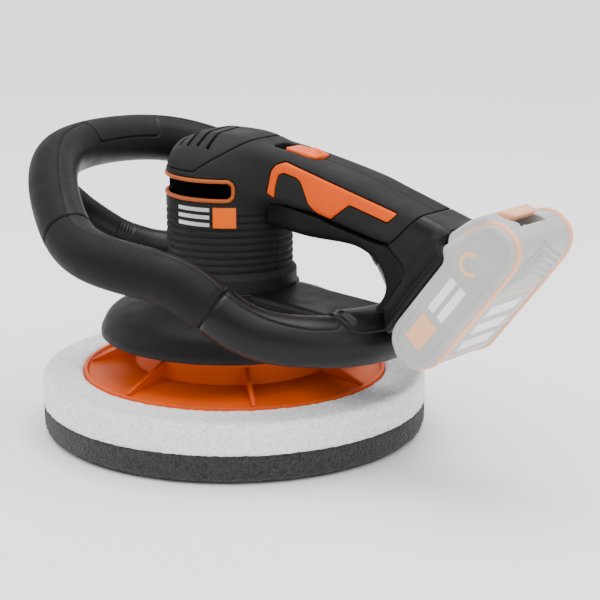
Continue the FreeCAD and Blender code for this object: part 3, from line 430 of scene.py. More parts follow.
RIB_LOW, RIB_PITCH, RIB_COUNT, RIB_DEPTH, RIB_REACH = 110.5, 4.6, 9, 1.25, 0.75
SLOT_LOW, SLOT_HEIGHT, SLOT_END = 156.5, 14.6, 43.0
HOUSING_RADIUS, FOOT_RADIUS, FOOT_LOW = 41.5, 44.0, 97
CASING_WALL, HANDLE_HALF, HANDLE_ROUNDING, NECK_FILLET = 2.6, 20.0, 8.5, 13.0
EDGE_ROUNDING, SEAM_ROUNDING = 0.9, 0.35
INSERT_DEPTH = 14.0
VENT_COUNT, VENT_PITCH, VENT_HALF, VENT_LEAN, VENT_FLOOR = 4, 8.4, 1.25, math.radians(14.5), 188.2
LINER_NARROW, LINER_WIDE, BRIDGE_HALF = 12.0, 19.4, 25.8
BASE_HALF, BASE_FLARE, CHANNEL_HALF, CHANNEL_DEPTH = 20.2, 7.8, 16.4, 13.4
# room for the turning counterweight under the bridge
SWEPT_RADIUS, SWEPT_TOP = 48.0, 88.0
SWITCH_PLACE, SWITCH_SLOPE = (62.0, 189.6), math.radians(7.8)
DOCK_PLACE, DOCK_TILT = (155.9, 98.2), math.radians(51.3)


def smooth_line(points, parts=6):
    """Points on a smooth curve through the given ones."""
    ends = [tuple(2 * a - b for a, b in zip(points[0], points[1])),
            tuple(2 * a - b for a, b in zip(points[-1], points[-2]))]
    chain = np.array([ends[0], *points, ends[1]], float)
    out = []
    for p0, p1, p2, p3 in zip(chain, chain[1:], chain[2:], chain[3:]):
        for t in np.arange(parts) / parts:
            out.append(0.5 * (2 * p1 + (p2 - p0) * t + (2 * p0 - 5 * p1 + 4 * p2 - p3) * t ** 2
                              + (3 * p1 - p0 - 3 * p2 + p3) * t ** 3))
    out.append(chain[-2])
    return [tuple(float(c) for c in p) for p in out]


def eased(points, cut):
    """A closed outline with each corner cut back and rounded."""
    out = []
    for before, corner, after in zip(points[-1:] + points[:-1], points, points[1:] + points[:1]):
        a, b, c = np.array(before, float), np.array(corner, float), np.array(after, float)
        la, lc = np.linalg.norm(a - b), np.linalg.norm(c - b)
        start = b + (a - b) / la * min(cut, la * 0.45)
        end = b + (c - b) / lc * min(cut, lc * 0.45)
        for t in (0.0, 0.33, 0.67, 1.0):
            out.append(tuple((1 - t) ** 2 * start + 2 * t * (1 - t) * b + t ** 2 * end))
    return [(float(u), float(v)) for u, v in out]


def housing_distance(field):
    """The motor housing: foot band, ribbed barrel and dome."""
    profile = [(0, FOOT_LOW), (FOOT_RADIUS, FOOT_LOW), (FOOT_RADIUS, 106.5), (HOUSING_RADIUS, 109)]
    distance = turned(field, profile + smooth_line(DOME))
    ribs = np.zeros_like(field.z)
    for number in range(RIB_COUNT):
        ribs = ribs + np.exp(-((field.z - RIB_LOW - RIB_PITCH * number) / RIB_REACH) ** 2)
    return distance + RIB_DEPTH * ribs


def housing_hollow(field):
    """The space within the housing's wall."""
    inner = HOUSING_RADIUS - 2.8
    profile = [(0, 90), (inner, 90), (inner, 151), (34, 153), (34, 174), (37.5, 177)]
    profile += [(max(r - CASING_WALL, 0), z - 0.8 * CASING_WALL) for r, z in smooth_line(DOME) if z > 181]
    return turned(field, profile)


def body_distance(field):
    """Housing and main handle as one smooth form."""
    handle = slab(field, smooth_line(HANDLE_TOP) + HANDLE_FOOT, HANDLE_HALF, HANDLE_ROUNDING)
    return blended(housing_distance(field), handle, NECK_FILLET)


def slot_distance(field):
    """The long air slot round the front of the housing: a stadium on the barrel."""
    along = HOUSING_RADIUS * np.arctan2(field.y, -field.x)
    half_length = HOUSING_RADIUS * math.radians(180 - SLOT_END)
    half_height = SLOT_HEIGHT / 2
    above_middle = field.z - SLOT_LOW - half_height
    return rounded_both(np.abs(along) - half_length, np.abs(above_middle) - half_height, half_height * 0.8)


def switch_frame(field):
    """Coordinates along and off the handle's top, at the switch."""
    dx, dz = field.x - SWITCH_PLACE[0], field.z - SWITCH_PLACE[1]
    return (dx * math.cos(SWITCH_SLOPE) - dz * math.sin(SWITCH_SLOPE),
            dx * math.sin(SWITCH_SLOPE) + dz * math.cos(SWITCH_SLOPE))


def switch_well(field):
    """The shallow pocket that the switch slides in, deeper at its front end."""
    along, off = switch_frame(field)
    sides = rounded_both(np.abs(along + 0.5) - 18.5, np.abs(field.y) - 8.3, 5.0)
    return np.maximum(sides, -1.6 - 4.0 * (along < -8.6) - off)


def switch_slit(field):
    """The slit in the well's floor for the switch's stem."""
    along, off = switch_frame(field)
    return np.maximum(np.maximum(np.abs(along) - 14, np.abs(field.y) - 3.5), -20 - off)


def vent_distance(field):
    """Slanted cooling slots across the dome."""
    slots = np.float32(np.inf)
    for number in range(VENT_COUNT):
        across = (field.x + 24 - VENT_PITCH * number) * math.cos(VENT_LEAN) + field.y * math.sin(VENT_LEAN)
        slots = np.minimum(slots, np.maximum(np.abs(across) - VENT_HALF, np.abs(field.y + 9.5) - 21.5))
    return np.maximum(slots, VENT_FLOOR - field.z)


def build_casing(step):
    """Both casing halves, with the coloured inserts in their flanks."""
    inserts = eased(INSERT_OUTLINE, 1.6)
    for side, label in ((-1, "left"), (1, "right")):
        low, high = ((-46, -45, 96), (174, 1.2, 197)) if side < 0 else ((-46, -1.2, 96), (174, 45, 197))
        field = Field(low, high, step)
        body = body_distance(field)
        cover = outline_distance(COVER_REGION, field.x, field.z)
        region = outline_distance(CASING_REGION, field.x, field.z)
        hollow = np.minimum(housing_hollow(field), slab(field, HANDLE_HOLLOW, 17.2, 6.0))
        slot = slot_distance(field)
        radius = axis_radius(field)
        insert = outline_distance(inserts, field.x, field.z)
        flank = INSERT_DEPTH - side * field.y
        casing = rounded_both(body, region + 0.15, EDGE_ROUNDING)
        casing = rounded_both(casing, 0.25 - cover, EDGE_ROUNDING)
        casing = rounded_both(casing, 0.06 - side * field.y, SEAM_ROUNDING)
        casing = np.maximum(casing, -hollow)
        # the air slot, and the shallower seat of its trim
        casing = np.maximum(casing, -np.maximum(slot + 1.0, 36.5 - radius))
        casing = np.maximum(casing, -np.maximum(slot - 0.5, 39.4 - radius))
        insert_seat = np.maximum(np.maximum(insert - 0.75, flank), -(body + 1.9))
        casing = np.maximum(casing, -insert_seat)
        casing = np.maximum(casing, -switch_well(field))
        casing = np.maximum(casing, -switch_slit(field))
        skin("casing_shell_" + label, field, casing, "casing_plastic", ["casing_" + label])
        proud = np.maximum(rounded_both(body - 0.35, insert, 0.8), np.maximum(flank, -(body + 1.7)))
        skin("handle_insert_shell_" + label, field, proud, "orange_trim", ["handle_insert_" + label])


def build_top_cover(step):
    """The vented cover on the housing's dome."""
    field = Field((-44, -44, 172), (44, 44, 197), step)
    region = outline_distance(COVER_REGION, field.x, field.z)
    cover = rounded_both(body_distance(field), region + 0.25, EDGE_ROUNDING)
    cover = np.maximum(cover, -housing_hollow(field))
    cover = np.maximum(cover, -vent_distance(field))
    skin("top_cover_shell", field, cover, "casing_plastic", ["top_cover"])


def build_slot_trim(step):
    """The coloured ring round the air slot, and near-black sheets behind the slot and the vents, painted
    shade that stands in for the shade inside them.
    """
    field = Field((-44, -44, 154), (44, 44, 174), step)
    across, through = np.abs(slot_distance(field) + 1.1) - 1.3, np.abs(axis_radius(field) - 40.7) - 1.45
    skin("slot_trim_ring", field, rounded_both(across, through, 1.1), "slot_rail", ["slot_trim"])
    # painted shade: near-black sheets just behind the slot and under the vents stand in for the shade deep
    # inside them
    slot_shade = turned_piece("slot_shade_sheet", [(39.0, 156), (39.2, 156), (39.2, 171.6), (39.0, 171.6)])
    finished(slot_shade, "painted_shade_black")
    vent_shade = turned_piece("vent_shade_sheet", [(0.1, 187.0), (29, 187.0), (29, 187.4), (0.1, 187.4)])
    finished(vent_shade, "painted_shade_black")


# The printed marks on the barrel

LABEL_BACK, LABEL_FRONT, LABEL_STEPS = 41.3, HOUSING_RADIUS + 0.3, 24


def printed_blocks(name, blocks, finish, node_names):
    """Blocks printed on both flanks of the barrel. Each is two angles in degrees and two heights."""
    verts, faces = [], []
    for first, last, low, high in blocks + [(-b, -a, c, d) for a, b, c, d in blocks]:
        start = len(verts)
        for k in range(LABEL_STEPS + 1):
            a = math.radians(first + (last - first) * k / LABEL_STEPS)
            for r, z in ((LABEL_BACK, low), (LABEL_FRONT, low), (LABEL_FRONT, high), (LABEL_BACK, high)):
                verts.append((r * math.cos(a) * MM, r * math.sin(a) * MM, z * MM))
        for k in range(LABEL_STEPS):
            for j in range(4):
                a, b = start + 4 * k + j, start + 4 * k + (j + 1) % 4
                faces.append((a, a + 4, b + 4, b))
        faces.append(tuple(range(start, start + 4)))
        faces.append(tuple(range(len(verts) - 4, len(verts)))[::-1])
    finished(mesh_object(name, verts, faces, smooth=False), finish, node_names)


def build_labels():
    """A plain orange block with three silver bars in front of it, on each flank."""
    printed_blocks("label_orange_block", [(-62.7, -42.3, 140.4, 153.5)], "label_print", ["housing_labels"])
    bars = [(-99.0, -66.0, low, low + 2.4) for low in (150.6, 145.8, 141.0)]
    printed_blocks("label_silver_bars", bars, "silver_print", [])


# The liner, the bridge and the dock

def flush_slab(field, outline, grown, half, rounding):
    """A slab whose flanks round off only where the grown outline keeps to the true one."""
    wide = rounded_both(outline_distance(grown, field.x, field.z), np.abs(field.y) - half, rounding)
    return rounded_both(wide, outline_distance(outline, field.x, field.z), 0.5)


def build_liner(step):
    """The soft liner of the hand hole, which widens from the housing towards the dock."""
    field = Field((34, -20, 95), (160, 20, 159), step)
    swell = np.clip((field.x - 44) / 40.0, 0, 1)
    half = LINER_NARROW + (LINER_WIDE - LINER_NARROW) * swell * swell * (3 - 2 * swell)
    window = smooth_line(LINER_INNER, 4)
    liner = flush_slab(field, smooth_line(LINER_OUTER, 4) + window, LINER_GROWN + window, half, 8.0)
    liner = np.maximum(liner, HOUSING_RADIUS + 0.2 - axis_radius(field))
    skin("handle_liner_grip", field, liner, "soft_grip", ["handle_liner"])


def build_bridge(step):
    """The bridge from the housing's foot to the dock, cut back below for the turning counterweight."""
    field = Field((34, -27, 76), (130, 27, 106), step)
    radius = axis_radius(field)
    bridge = slab(field, eased(BRIDGE_OUTLINE, 3.0), BRIDGE_HALF, 5.0)
    bridge = np.maximum(bridge, FOOT_RADIUS + 0.2 - radius)
    bridge = np.maximum(bridge, -np.maximum(radius - SWEPT_RADIUS, field.z - SWEPT_TOP))
    skin("lower_bridge_shell", field, bridge, "black_plastic", ["lower_bridge"])


def dock_frame(field):
    """Coordinates up the dock and into the tool, from the dock's lower edge."""
    dx, dz = field.x - DOCK_PLACE[0], field.z - DOCK_PLACE[1]
    return (dx * math.cos(DOCK_TILT) + dz * math.sin(DOCK_TILT),
            dz * math.cos(DOCK_TILT) - dx * math.sin(DOCK_TILT))


def build_base(step):
    """The dock that the battery slides on: flared towards the battery, with the rails' channel."""
    field = Field((136, -30, 88), (195, 30, 167), step)
    up, inward = dock_frame(field)
    flare = (1 - np.clip((inward - 4.0) / 18.0, 0, 1)) ** 2
    half = BASE_HALF + BASE_FLARE * flare
    rounding = 3.0 + 5.5 * (1 - flare)
    base = flush_slab(field, eased(BASE_OUTLINE, 0.8), eased(BASE_GROWN, 1.2), half, rounding)
    channel = np.maximum(np.maximum(3.6 - up, inward - CHANNEL_DEPTH), np.abs(field.y) - CHANNEL_HALF)
    base = np.maximum(base, -channel)
    joint_line = np.exp(-((inward - 5.6) / 0.6) ** 2) * (np.abs(field.y) > 20)
    skin("battery_base_shell", field, base + 0.7 * joint_line, "black_plastic", ["battery_base"])


# The ring-shaped loop handle

LOOP_LEFT = [(133, -20, 84), (116, -56, 86), (85, -85, 91), (54, -98, 122), (16, -115, 128),
             (-20, -118, 133), (-50, -103, 147), (-80, -83, 163), (-105, -57, 175), (-118, -21, 178)]
LOOP_CORNERS = np.array(LOOP_LEFT + [(x, -y, z) for x, y, z in LOOP_LEFT[::-1]], float)
LOOP_RADIUS = 16.0
# one step of u is about this many millimetres along the loop
LOOP_UNIT = 41.0
# the upper parting line's angle on the section, at places counted from the loop's rear. Most pairs are
# points read off the photo, turned into places and angles by a separate script
GROOVE_PLACES = [0.5, 0.7, 1.1, 1.4, 1.7, 2.0, 2.4, 2.9, 4.1, 4.65, 5.25, 5.94, 6.47, 7.5, 8.5, 9.5]
GROOVE_ANGLES = [72, 42, 43, 50, 57, 64, 69, 83, 83, 74, 74, 87, 97, 108, 103, 100]
LOWER_GROOVE = 262.0
GROOVE_DEPTH, GROOVE_DEGREES = 0.9, 1.7
REAR_LIP, REAR_LIP_END = 0.6, 2.6
BADGE_FROM, BADGE_TO = 8.95, 10.5
BADGE_LOW, BADGE_HIGH = 82.0, 170.0
# the saddle over the tube at the loop's rear, in millimetres along the tube and degrees round it
REAR_MIDDLE, SADDLE_HALF, SADDLE_LEAN, SADDLE_LOW = 19.5, 42.0, 0.45, 25
LOOP_GAP = 0.008


def loop_point(u):
    """A point on the loop's centre line, a closed cubic B-spline."""
    i, t = int(math.floor(u)), u - math.floor(u)
    p = [LOOP_CORNERS[(i + k) % len(LOOP_CORNERS)] for k in (-1, 0, 1, 2)]
    return ((1 - t) ** 3 * p[0] + (3 * t ** 3 - 6 * t ** 2 + 4) * p[1]
            + (-3 * t ** 3 + 3 * t ** 2 + 3 * t + 1) * p[2] + t ** 3 * p[3]) / 6


def loop_frame(u):
    """Centre, outward and upward directions of the loop's section."""
    centre = loop_point(u)
    along = loop_point(u + 0.02) - loop_point(u - 0.02)
    along /= np.linalg.norm(along)
    outward = np.cross(along, (0, 0, 1))
    outward /= np.linalg.norm(outward)
    if outward @ (centre - np.array((0, 0, centre[2]))) < 0:
        outward = -outward
    upward = np.cross(outward, along)
    if upward[2] < 0:
        upward = -upward
    return centre, outward, upward


def tube_faces(count, around, start=0):
    """Faces of a tube of this many rings, each of this many points, numbered from the start."""
    faces = []
    for row in range(count - 1):
        for k in range(around):
            a, b = start + row * around + k, start + row * around + (k + 1) % around
            faces.append((a, b, b + around, a + around))
    return faces


def parting_angle(places):
    """How far each place is from the loop's rear, and the upper parting line's angle there."""
    from_rear = 9.5 - np.abs((places + 0.5) % 20 - 10)
    return from_rear, np.interp(from_rear, GROOVE_PLACES, GROOVE_ANGLES)


def sleeve_radius(places, angles, badge):
    """The sleeve's radius over its places and angles: parting grooves, a lip at the rear, stepped ends."""
    radius = np.full((len(places), len(angles)), LOOP_RADIUS)
    from_rear, upper = (column[:, None] for column in parting_angle(places))
    degrees = np.degrees(angles)[None, :]
    marked = np.clip((from_rear - 0.55) / 0.3, 0, 1)
    radius -= GROOVE_DEPTH * marked * np.exp(-((degrees - upper) / GROOVE_DEGREES) ** 2)
    radius -= GROOVE_DEPTH * np.exp(-((degrees - LOWER_GROOVE) / GROOVE_DEGREES) ** 2)
    lip = REAR_LIP * np.clip((from_rear - 0.5) / 0.5, 0, 1) * (from_rear < REAR_LIP_END)
    radius += lip * (degrees > upper) * (degrees < 150) - lip
    for row, cut in ((0, 1.1), (-1, 1.1), (1, 0.35), (-2, 0.35)):
        radius[row] -= cut
    if badge:
        edge = badge_distance(places[:, None], angles[None, :])
        radius = np.where(edge < 0, LOOP_RADIUS - 0.6, radius)
        radius -= 1.2 * np.exp(-(edge / 0.6) ** 2)
    return radius


def loop_sleeve(name, first, last, finish, inner_finish, node_names, badge=False):
    """One sleeve of the loop between two places on its centre line. Its finishes meet at its grooves."""
    around, per_unit = 180, 40
    count = int((last - first) * per_unit)
    places = np.linspace(first, last, count)
    angles = np.radians(np.arange(around) * 360.0 / around)
    radius = sleeve_radius(places, angles, badge)
    centres, outwards, upwards = (np.array(rows) for rows in zip(*(loop_frame(u) for u in places)))
    sections = (np.cos(angles)[None, :, None] * outwards[:, None, :]
                + np.sin(angles)[None, :, None] * upwards[:, None, :])
    verts = (centres[:, None, :] + radius[:, :, None] * sections).reshape(-1, 3) * MM
    faces = tube_faces(count, around)
    faces.append(tuple(range(around))[::-1])
    faces.append(tuple(range((count - 1) * around, count * around)))
    obj = mesh_object(name, verts.tolist(), faces)
    obj.data.materials.append(finishes[finish])
    obj.data.materials.append(finishes[inner_finish])
    low, high = around * parting_angle(places)[1] / 360, around * LOWER_GROOVE / 360
    for number, face in enumerate(obj.data.polygons):
        if low[min(number // around, count - 1)] <= number % around < high:
            face.material_index = 1
    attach(obj, "tool")
    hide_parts(*node_names)


def badge_distance(u, angle):
    """Distance to the outline of the badge panel on the front grip, below zero inside it."""
    along = (u - (BADGE_FROM + BADGE_TO) / 2) * LOOP_UNIT
    around = LOOP_RADIUS * (angle - math.radians((BADGE_LOW + BADGE_HIGH) / 2))
    half_along = (BADGE_TO - BADGE_FROM) / 2 * LOOP_UNIT
    half_around = LOOP_RADIUS * math.radians(BADGE_HIGH - BADGE_LOW) / 2
    return rounded_both(np.abs(along) - half_along, np.abs(around) - half_around, 4.0)


def patch_on_loop(name, places, angles, lift, inside):
    """A sheet that lies on the loop's tube, at this lift from the centre line at each place and angle."""
    verts, faces = [], []
    for row, u in enumerate(places):
        centre, outward, upward = loop_frame(u)
        for column, a in enumerate(angles):
            verts.append((centre + lift[row, column] * (math.cos(a) * outward + math.sin(a) * upward)) * MM)
    width = len(angles)
    for row in range(len(places) - 1):
        for column in range(width - 1):
            if inside[row:row + 2, column:column + 2].all():
                a = row * width + column
                faces.append((a, a + width, a + width + 1, a + 1))
    return mesh_object(name, verts, faces)


def build_badge():
    """The badge panel: a plain textured plate set into the front grip."""
    places = np.linspace(BADGE_FROM - 0.05, BADGE_TO + 0.05, 170)
    angles = np.radians(np.linspace(BADGE_LOW - 2, BADGE_HIGH + 2, 110))
    edge = badge_distance(places[:, None], angles[None, :])
    lift = LOOP_RADIUS + 0.1 - 1.6 * np.clip((edge + 1.2) / 0.9, 0, 1)
    plate = patch_on_loop("badge_panel_plate", places, angles, lift, edge < 0.2)
    finished(plate, "badge_plastic", ["badge_panel"])


def build_foot():
    """The battery base's foot, a saddle that curls over the tube at the rear."""
    places = np.linspace(18.2, 20.8, 170)
    angles = np.radians(np.linspace(16, 150, 130))
    away = np.abs(places - REAR_MIDDLE)[:, None] * LOOP_UNIT
    across = LOOP_RADIUS * (angles[None, :] - math.radians(SADDLE_LOW))
    edge = rounded_both(away - SADDLE_HALF - SADDLE_LEAN * np.minimum(across, 16), -across, 6.0)
    rim = 2.4 * np.clip((edge + 1.6) / 1.6, 0, 1)
    crown = 1.8 * np.clip((-edge - 5.5) / 3, 0, 1)
    lift = LOOP_RADIUS + 1.4 - rim + crown
    saddle = patch_on_loop("battery_base_foot", places, angles, lift, edge < 0.3)
    finished(saddle, "black_plastic")


def build_loop():
    """The loop's four sleeves with narrow gaps between them, the badge and the foot over the rear tube."""
    for name, first, last, finish, inner_finish, node in (
            ("loop_rear_tube", 16.5, 22.5, "black_plastic", "black_plastic", "loop_rear_frame"),
            ("loop_grip_left", 2.5, 5.5, "soft_grip", "grip_inner", "loop_side_grip_left"),
            ("loop_grip_right", 13.5, 16.5, "soft_grip", "grip_inner", "loop_side_grip_right"),
            ("loop_grip_front", 5.5, 13.5, "soft_grip", "grip_inner", "loop_front_grip")):
        loop_sleeve(name, first + LOOP_GAP, last - LOOP_GAP, finish, inner_finish, [node],
                    badge=name == "loop_grip_front")
    build_badge()
    build_foot()


STRUT_LINE = [(-30, -6, 111), (-43, -11, 111.2), (-56, -21, 114.5), (-69, -35, 122.5), (-79.5, -49, 133.5),
              (-87, -62, 144), (-89, -69, 153), (-88, -74, 162)]
STRUT_RADII = [16.0, 14.6, 13.2, 12.6, 13.2, 15.0, 13.5, 6.0]
STRUT_RINGS, RING_DEPTH, RING_REACH = (45.8, 48.2, 50.6, 53.0, 55.4), 0.45, 0.6


def build_struts():
    """Two round arms from the housing's front to the loop, ringed midway and flaring under the loop."""
    rows = np.array(smooth_line([(*p, r) for p, r in zip(STRUT_LINE, STRUT_RADII)], 24))
    centres, radii = rows[:, :3], rows[:, 3]
    steps = np.linalg.norm(np.diff(centres, axis=0), axis=1)
    length = np.concatenate([[0.0], np.cumsum(steps)])
    for mark in STRUT_RINGS:
        radii = radii - RING_DEPTH * np.exp(-((length - mark) / RING_REACH) ** 2)
    along = np.gradient(centres, axis=0)
    along /= np.linalg.norm(along, axis=1)[:, None]
    across = np.cross(along, (0.0, 0.0, 1.0))
    across /= np.linalg.norm(across, axis=1)[:, None]
    upward = np.cross(across, along)
    around = 96
    angles = np.arange(around) * 2 * math.pi / around
    sections = (np.cos(angles)[None, :, None] * across[:, None, :]
                + np.sin(angles)[None, :, None] * upward[:, None, :])
    left = (centres[:, None, :] + radii[:, None, None] * sections).reshape(-1, 3) * MM
    verts, faces = [], []
    for side in (1, -1):
        start = len(verts)
        verts += (left * (1, side, 1)).tolist()
        faces += [face[::side] for face in tube_faces(len(rows), around, start)]
        faces.append(tuple(range(start, start + around))[::-side])
        faces.append(tuple(range(len(verts) - around, len(verts)))[::side])
    finished(mesh_object("loop_strut_arms", verts, faces), "black_plastic", ["loop_struts"])


# Turned parts and the foam pads

def turned_piece(name, profile, centre=(0.0, 0.0), around=256, shake=0.0):
    """A closed profile turned about an upright axis, with an optional slight unevenness."""
    noise = np.random.default_rng(1)
    verts, faces = [], []
    count = len(profile)
    for k in range(around):
        a = 2 * math.pi * k / around
        for r, z in profile:
            dr, dz = noise.normal(0, shake, 2) if shake else (0, 0)
            x, y = centre[0] + (r + dr) * math.cos(a), centre[1] + (r + dr) * math.sin(a)
            verts.append((x * MM, y * MM, (z + dz) * MM))
    for k in range(around):
        nxt = (k + 1) % around
        for j in range(count):
            j2 = (j + 1) % count
            faces.append((k * count + j, nxt * count + j, nxt * count + j2, k * count + j2))
    return mesh_object(name, verts, faces)


def dense(profile, spacing):
    """The closed profile with extra points, no further apart than the spacing."""
    out = []
    for (r1, z1), (r2, z2) in zip(profile, profile[1:] + profile[:1]):
        parts = max(1, int(math.hypot(r2 - r1, z2 - z1) / spacing))
        out += [(r1 + (r2 - r1) * k / parts, z1 + (z2 - z1) * k / parts) for k in range(parts)]
    return out


PAD_CENTRE = (3.0, 0.0)


def build_pads():
    """The white and grey foam rings and the thin face layer, on the pad's own axis."""
    white = dense([(4, 18.8), (126.2, 18.8), (126.9, 19.6), (126.9, 37.0), (126.0, 39.0), (124.0, 39.9),
                   (103.5, 39.9), (101.5, 39.0), (100.6, 37.0), (100.4, 35.2), (4, 35.2)], 2.2)
    grey = dense([(4, 1.7), (123.4, 1.7), (125.6, 3.0), (126.6, 5.4), (126.9, 9.0), (126.9, 17.6),
                  (126.4, 18.6), (4, 18.6)], 1.8)
    face = dense([(4, 0.0), (121.8, 0.0), (122.9, 0.5), (123.2, 1.0), (122.6, 1.6), (4, 1.6)], 2.2)
    for name, profile, shake, finish, node in (
            ("pad_white_foam_ring", white, 0.16, "white_foam", "pad_white_foam"),
            ("pad_grey_foam_ring", grey, 0.16, "grey_foam", "pad_grey_foam"),
            ("pad_face_felt", face, 0.0, "face_felt", "pad_face_layer")):
        obj = turned_piece(name, profile, PAD_CENTRE, 360, shake)
        finished(obj, finish, [node], "pad")


def build_shroud():
    """The bell-shaped skirt under the housing: its rim, its outside up to the foot, and its inside."""
    rim = [(83.6, 63.2), (85.2, 63.0), (86.0, 63.8), (86.0, 66.4)]
    outside = smooth_line([(85.4, 68.6), (80.7, 76.8), (72, 82.3), (58, 86.4), (49, 89.3), (46, 94),
                           (45.6, 97.2)], 8)
    inside = [(38, 97.2), (38, 93.2), (43.6, 93.2), (46.2, 88), (57.2, 84), (70.9, 80.1), (78.6, 75.4),
              (83.2, 66.4), (83.2, 63.6)]
    skirt = turned_piece("shroud_skirt", rim + outside + inside)
    finished(skirt, "shroud_plastic", ["shroud"])


# The battery pack, in the dock's frame: u up the dock, w into the tool

PACK_OUTLINE = [(4, -0.6), (-1.5, -2.2), (-6.5, -5.8), (-11, -14.5), (-9.5, -24), (-3.5, -31.5), (5, -35.4),
                (88, -35.4), (97.5, -32), (102, -25.5), (102, -15), (96.5, -6.5), (64.6, 6.0), (58.8, -0.6)]
CROWN_OUTLINE = [(60, -4), (96, -8), (95.4, 0), (84, 6), (67.5, 10.8), (62.4, 8)]
PACK_HALF, FACE_HALF, PACK_FACE = 33.0, 28.0, -35.4
CAP_OUTLINE = [(87.5, 4.2), (97, -1), (103, -9), (102.6, -11), (96, -9.4), (87.5, -4.4)]
FINGER_GROOVES, FINGER_FIRST, FINGER_PITCH = 5, 80, 4.6


def dock_point(u, y, w):
    """A place in the dock's frame as a point in the tool's frame, in metres."""
    c, s = math.cos(DOCK_TILT), math.sin(DOCK_TILT)
    return ((DOCK_PLACE[0] + u * c - w * s) * MM, y * MM, (DOCK_PLACE[1] + u * s + w * c) * MM)


def dock_skin(name, field, distance, finish, node_names, body="battery"):
    """A skin whose field is in the dock's frame."""
    skin(name, field, distance, finish, node_names, body, place=dock_point)


def build_battery(step):
    """The pack's outside: shell, cheeks, trims and release button."""
    outline = eased(PACK_OUTLINE, 3.0)
    build_pack_shell(step, outline)
    for sign, label in ((-1, "left"), (1, "right")):
        build_cheek(step, outline, sign, label)
    cap = Field((84, -13, -16), (104, 13, 7), step)
    dock_skin("release_button_cap", cap, slab(cap, eased(CAP_OUTLINE, 1.2), 12.0, 1.5), "pack_orange",
              ["release_button"], "release")
    build_prints()


def build_pack_shell(step, outline):
    """The middle of the pack, between the cheeks: body, crown, rail, grooves, feet and pockets."""
    field = Field((-14, -35, -38), (106, 35, 16), step)
    flat = outline_distance(outline, field.x, field.z)
    side = np.abs(field.y)
    whole = rounded_both(flat, side - PACK_HALF, 3.5)
    crown = slab(field, eased(CROWN_OUTLINE, 2.5), 23.0, 3.0)
    rail = box_distance(field, (6, -16, -4), (61, 16, 13), 1.0)
    shell = np.minimum(blended(whole, crown, 4.0), rail)
    shell = np.maximum(shell, side - FACE_HALF)
    # the release button's pocket
    pocket = np.maximum(np.maximum(85.4 - field.x, side - 12.5),
                        np.maximum(-16.4 - field.z, -(field.x + field.z - 76)))
    shell = np.maximum(shell, -pocket)
    # finger grooves across the face, each a shallow chevron
    grooves = np.zeros_like(shell)
    for number in range(FINGER_GROOVES):
        line = field.x - (FINGER_FIRST + FINGER_PITCH * number) + 0.5 * side
        grooves = grooves + np.exp(-line ** 2)
    grooves = grooves * (field.z < -18) * (field.x > 66) * (side < 22)
    shell = shell + 1.5 * grooves * (flat > -3)
    for place in (-20, 20):
        foot = box_distance(field, (-13.4, place - 4, -19), (-7, place + 4, -11), 1.5)
        shell = np.minimum(shell, foot)
    # openings in the rail for the latch and the contacts
    latch = np.maximum(np.abs(field.x - 52.5) - 4.0, side - 4.5)
    shell = np.maximum(shell, -np.maximum(latch, -10 - field.z))
    contacts = np.maximum(np.maximum(4 - field.x, field.x - 30), side - 12)
    shell = np.maximum(shell, -np.maximum(contacts, 4 - field.z))
    seam = np.exp(-((field.z + 17) / 0.6) ** 2) * (flat > -2.5) * (field.z < 0)
    dock_skin("battery_shell", field, shell + 0.7 * seam, "pack_grey",
              ["battery_upper_shell", "battery_lower_shell"])


def build_cheek(step, outline, sign, label):
    """One of the pack's cheeks, with a line round its panel, and the coloured strip along its edge."""
    low, high = ((-14, -35, -38), (106, -26, 16)) if sign < 0 else ((-14, 26, -38), (106, 35, 16))
    edge = Field(low, high, step)
    flat = outline_distance(outline, edge.x, edge.z)
    side = sign * edge.y
    cheek = rounded_both(rounded_both(flat + 0.2, side - PACK_HALF, 3.5), FACE_HALF + 0.25 - side, 0.7)
    panel = rounded_both(flat + 5.0, side - 40, 0.5)
    rim = np.exp(-(panel / 0.8) ** 2) * (side > 30)
    dock_skin("battery_cheek_shell_" + label, edge, cheek + 0.6 * rim, "pack_cheek",
              ["battery_cheek_" + label])
    strip = rounded_both(np.abs(flat + 0.6) - 1.4, np.abs(side - FACE_HALF + 0.9) - 2.2, 0.5)
    strip = np.maximum(strip, np.minimum(edge.z + 20, 80 - edge.x))
    dock_skin("battery_trim_strip_" + label, edge, strip, "pack_orange",
              ["battery_trims"] if sign < 0 else [])


PRINT_HEIGHT, PRINT_LIFT = 0.3, 0.12


def flat_print(name, pieces, place, finish):
    """Flat printed marks on the pack. place(a, b, lift) gives a point in the dock's frame."""
    verts, faces = [], []
    for outline in pieces:
        start, count = len(verts), len(outline)
        for lift in (-PRINT_HEIGHT, 0.0):
            verts += [dock_point(*place(a, b, lift)) for a, b in outline]
        faces.append(tuple(range(start + count, start + 2 * count)))
        faces.append(tuple(range(start, start + count))[::-1])
        for k in range(count):
            nxt = (k + 1) % count
            faces.append((start + k, start + nxt, start + count + nxt, start + count + k))
    finished(mesh_object(name, verts, faces, smooth=False), finish, (), "battery")


def bar(a, b, long, wide):
    """A rectangle from its lower corner."""
    return [(a, b), (a + long, b), (a + long, b + wide), (a, b + wide)]


def open_ring(a, b, inner, outer, parts=20, drawn=14):
    """Short four-sided pieces that go most of the way round a ring."""
    turn = 2 * math.pi / parts
    return [[(a + r * math.cos(t), b + r * math.sin(t)) for r, t in
             ((inner, turn * k), (outer, turn * k), (outer, turn * (k + 1)), (inner, turn * (k + 1)))]
            for k in range(drawn)]


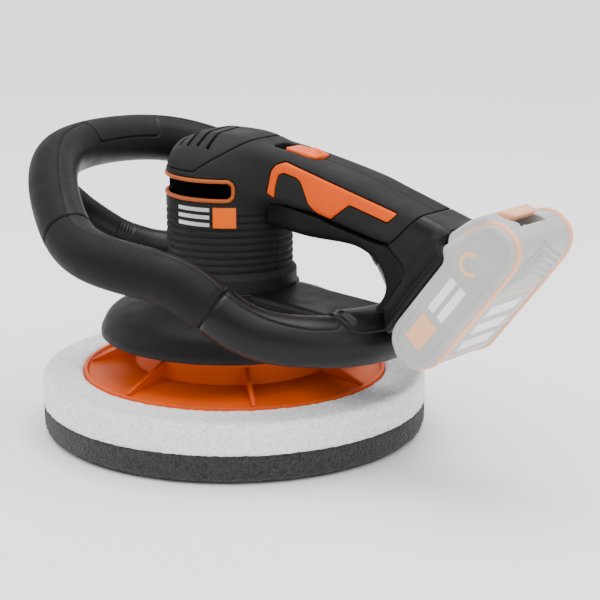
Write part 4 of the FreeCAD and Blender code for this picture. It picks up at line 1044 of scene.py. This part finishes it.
def build_prints():
    """Plain bars, blocks and a ring printed on the pack's outer face and on both cheeks."""
    def on_face(layer):
        return lambda a, b, lift: (a, b, PACK_FACE - layer * PRINT_LIFT - lift)

    flat_print("battery_face_label", [bar(8, -22, 54, 44)], on_face(1), "face_print")
    flat_print("battery_face_field", [bar(10, -20, 50, 40)], on_face(2), "pack_grey")
    bars = [bar(14 + 15 * k, -16, 9, 32) for k in range(3)]
    flat_print("battery_face_bars", bars, on_face(3), "face_ink")
    for sign, label in ((-1, "left"), (1, "right")):
        def on_cheek(a, b, lift, side=sign):
            return a, side * (PACK_HALF + PRINT_LIFT + lift), b

        marks = [bar(6, -24, 20, 13)] + open_ring(72, -15, 5, 7.4)
        flat_print("battery_cheek_block_" + label, marks, on_cheek, "pack_orange")
        bars = [bar(31, b, 26, 5.0) for b in (-24, -16)]
        flat_print("battery_cheek_bars_" + label, bars, on_cheek, "face_ink")


def switch_point(along, y, off):
    """A place in the switch's frame as a point in the tool's frame, in metres."""
    c, s = math.cos(SWITCH_SLOPE), math.sin(SWITCH_SLOPE)
    return ((SWITCH_PLACE[0] + along * c + off * s) * MM, y * MM,
            (SWITCH_PLACE[1] - along * s + off * c) * MM)


def build_switch(step):
    """The slide switch's button: a low plate with a raised, finely ribbed thumb pad, on a stem."""
    field = Field((-12, -9, -10), (19, 9, 6), step * 0.6)
    plate = rounded_both(rounded_both(np.abs(field.x - 4.1) - 12.5, np.abs(field.y) - 7.5, 2.5),
                         np.abs(field.z - 0.1) - 1.2, 0.8)
    pad = np.sqrt((field.x - 8.6) ** 2 + (field.y / 1.05) ** 2 + ((field.z + 1.6) * 1.31) ** 2) - 7.6
    slider = blended(plate, pad, 2.0)
    ribs = np.exp(-((np.mod(field.x + 0.9, 1.8) - 0.9) / 0.4) ** 2) * (field.z > 1.7)
    stem = box_distance(field, (1, -3, -9), (7, 3, 1), 0.3)
    skin("switch_thumb_slider", field, np.minimum(slider + 0.35 * ribs, stem), "orange_switch",
         ["switch_slider"], "switch", place=switch_point)


make_camera()
make_lights()
make_floor()
finishes = make_finishes()
paint_cad_nodes(finishes)
STEP = 0.6
build_pads()
build_shroud()
build_loop()
build_struts()
build_casing(STEP)
build_top_cover(STEP)
build_slot_trim(STEP)
build_labels()
build_liner(STEP)
build_bridge(STEP)
build_base(STEP)
build_battery(STEP)
build_switch(STEP)
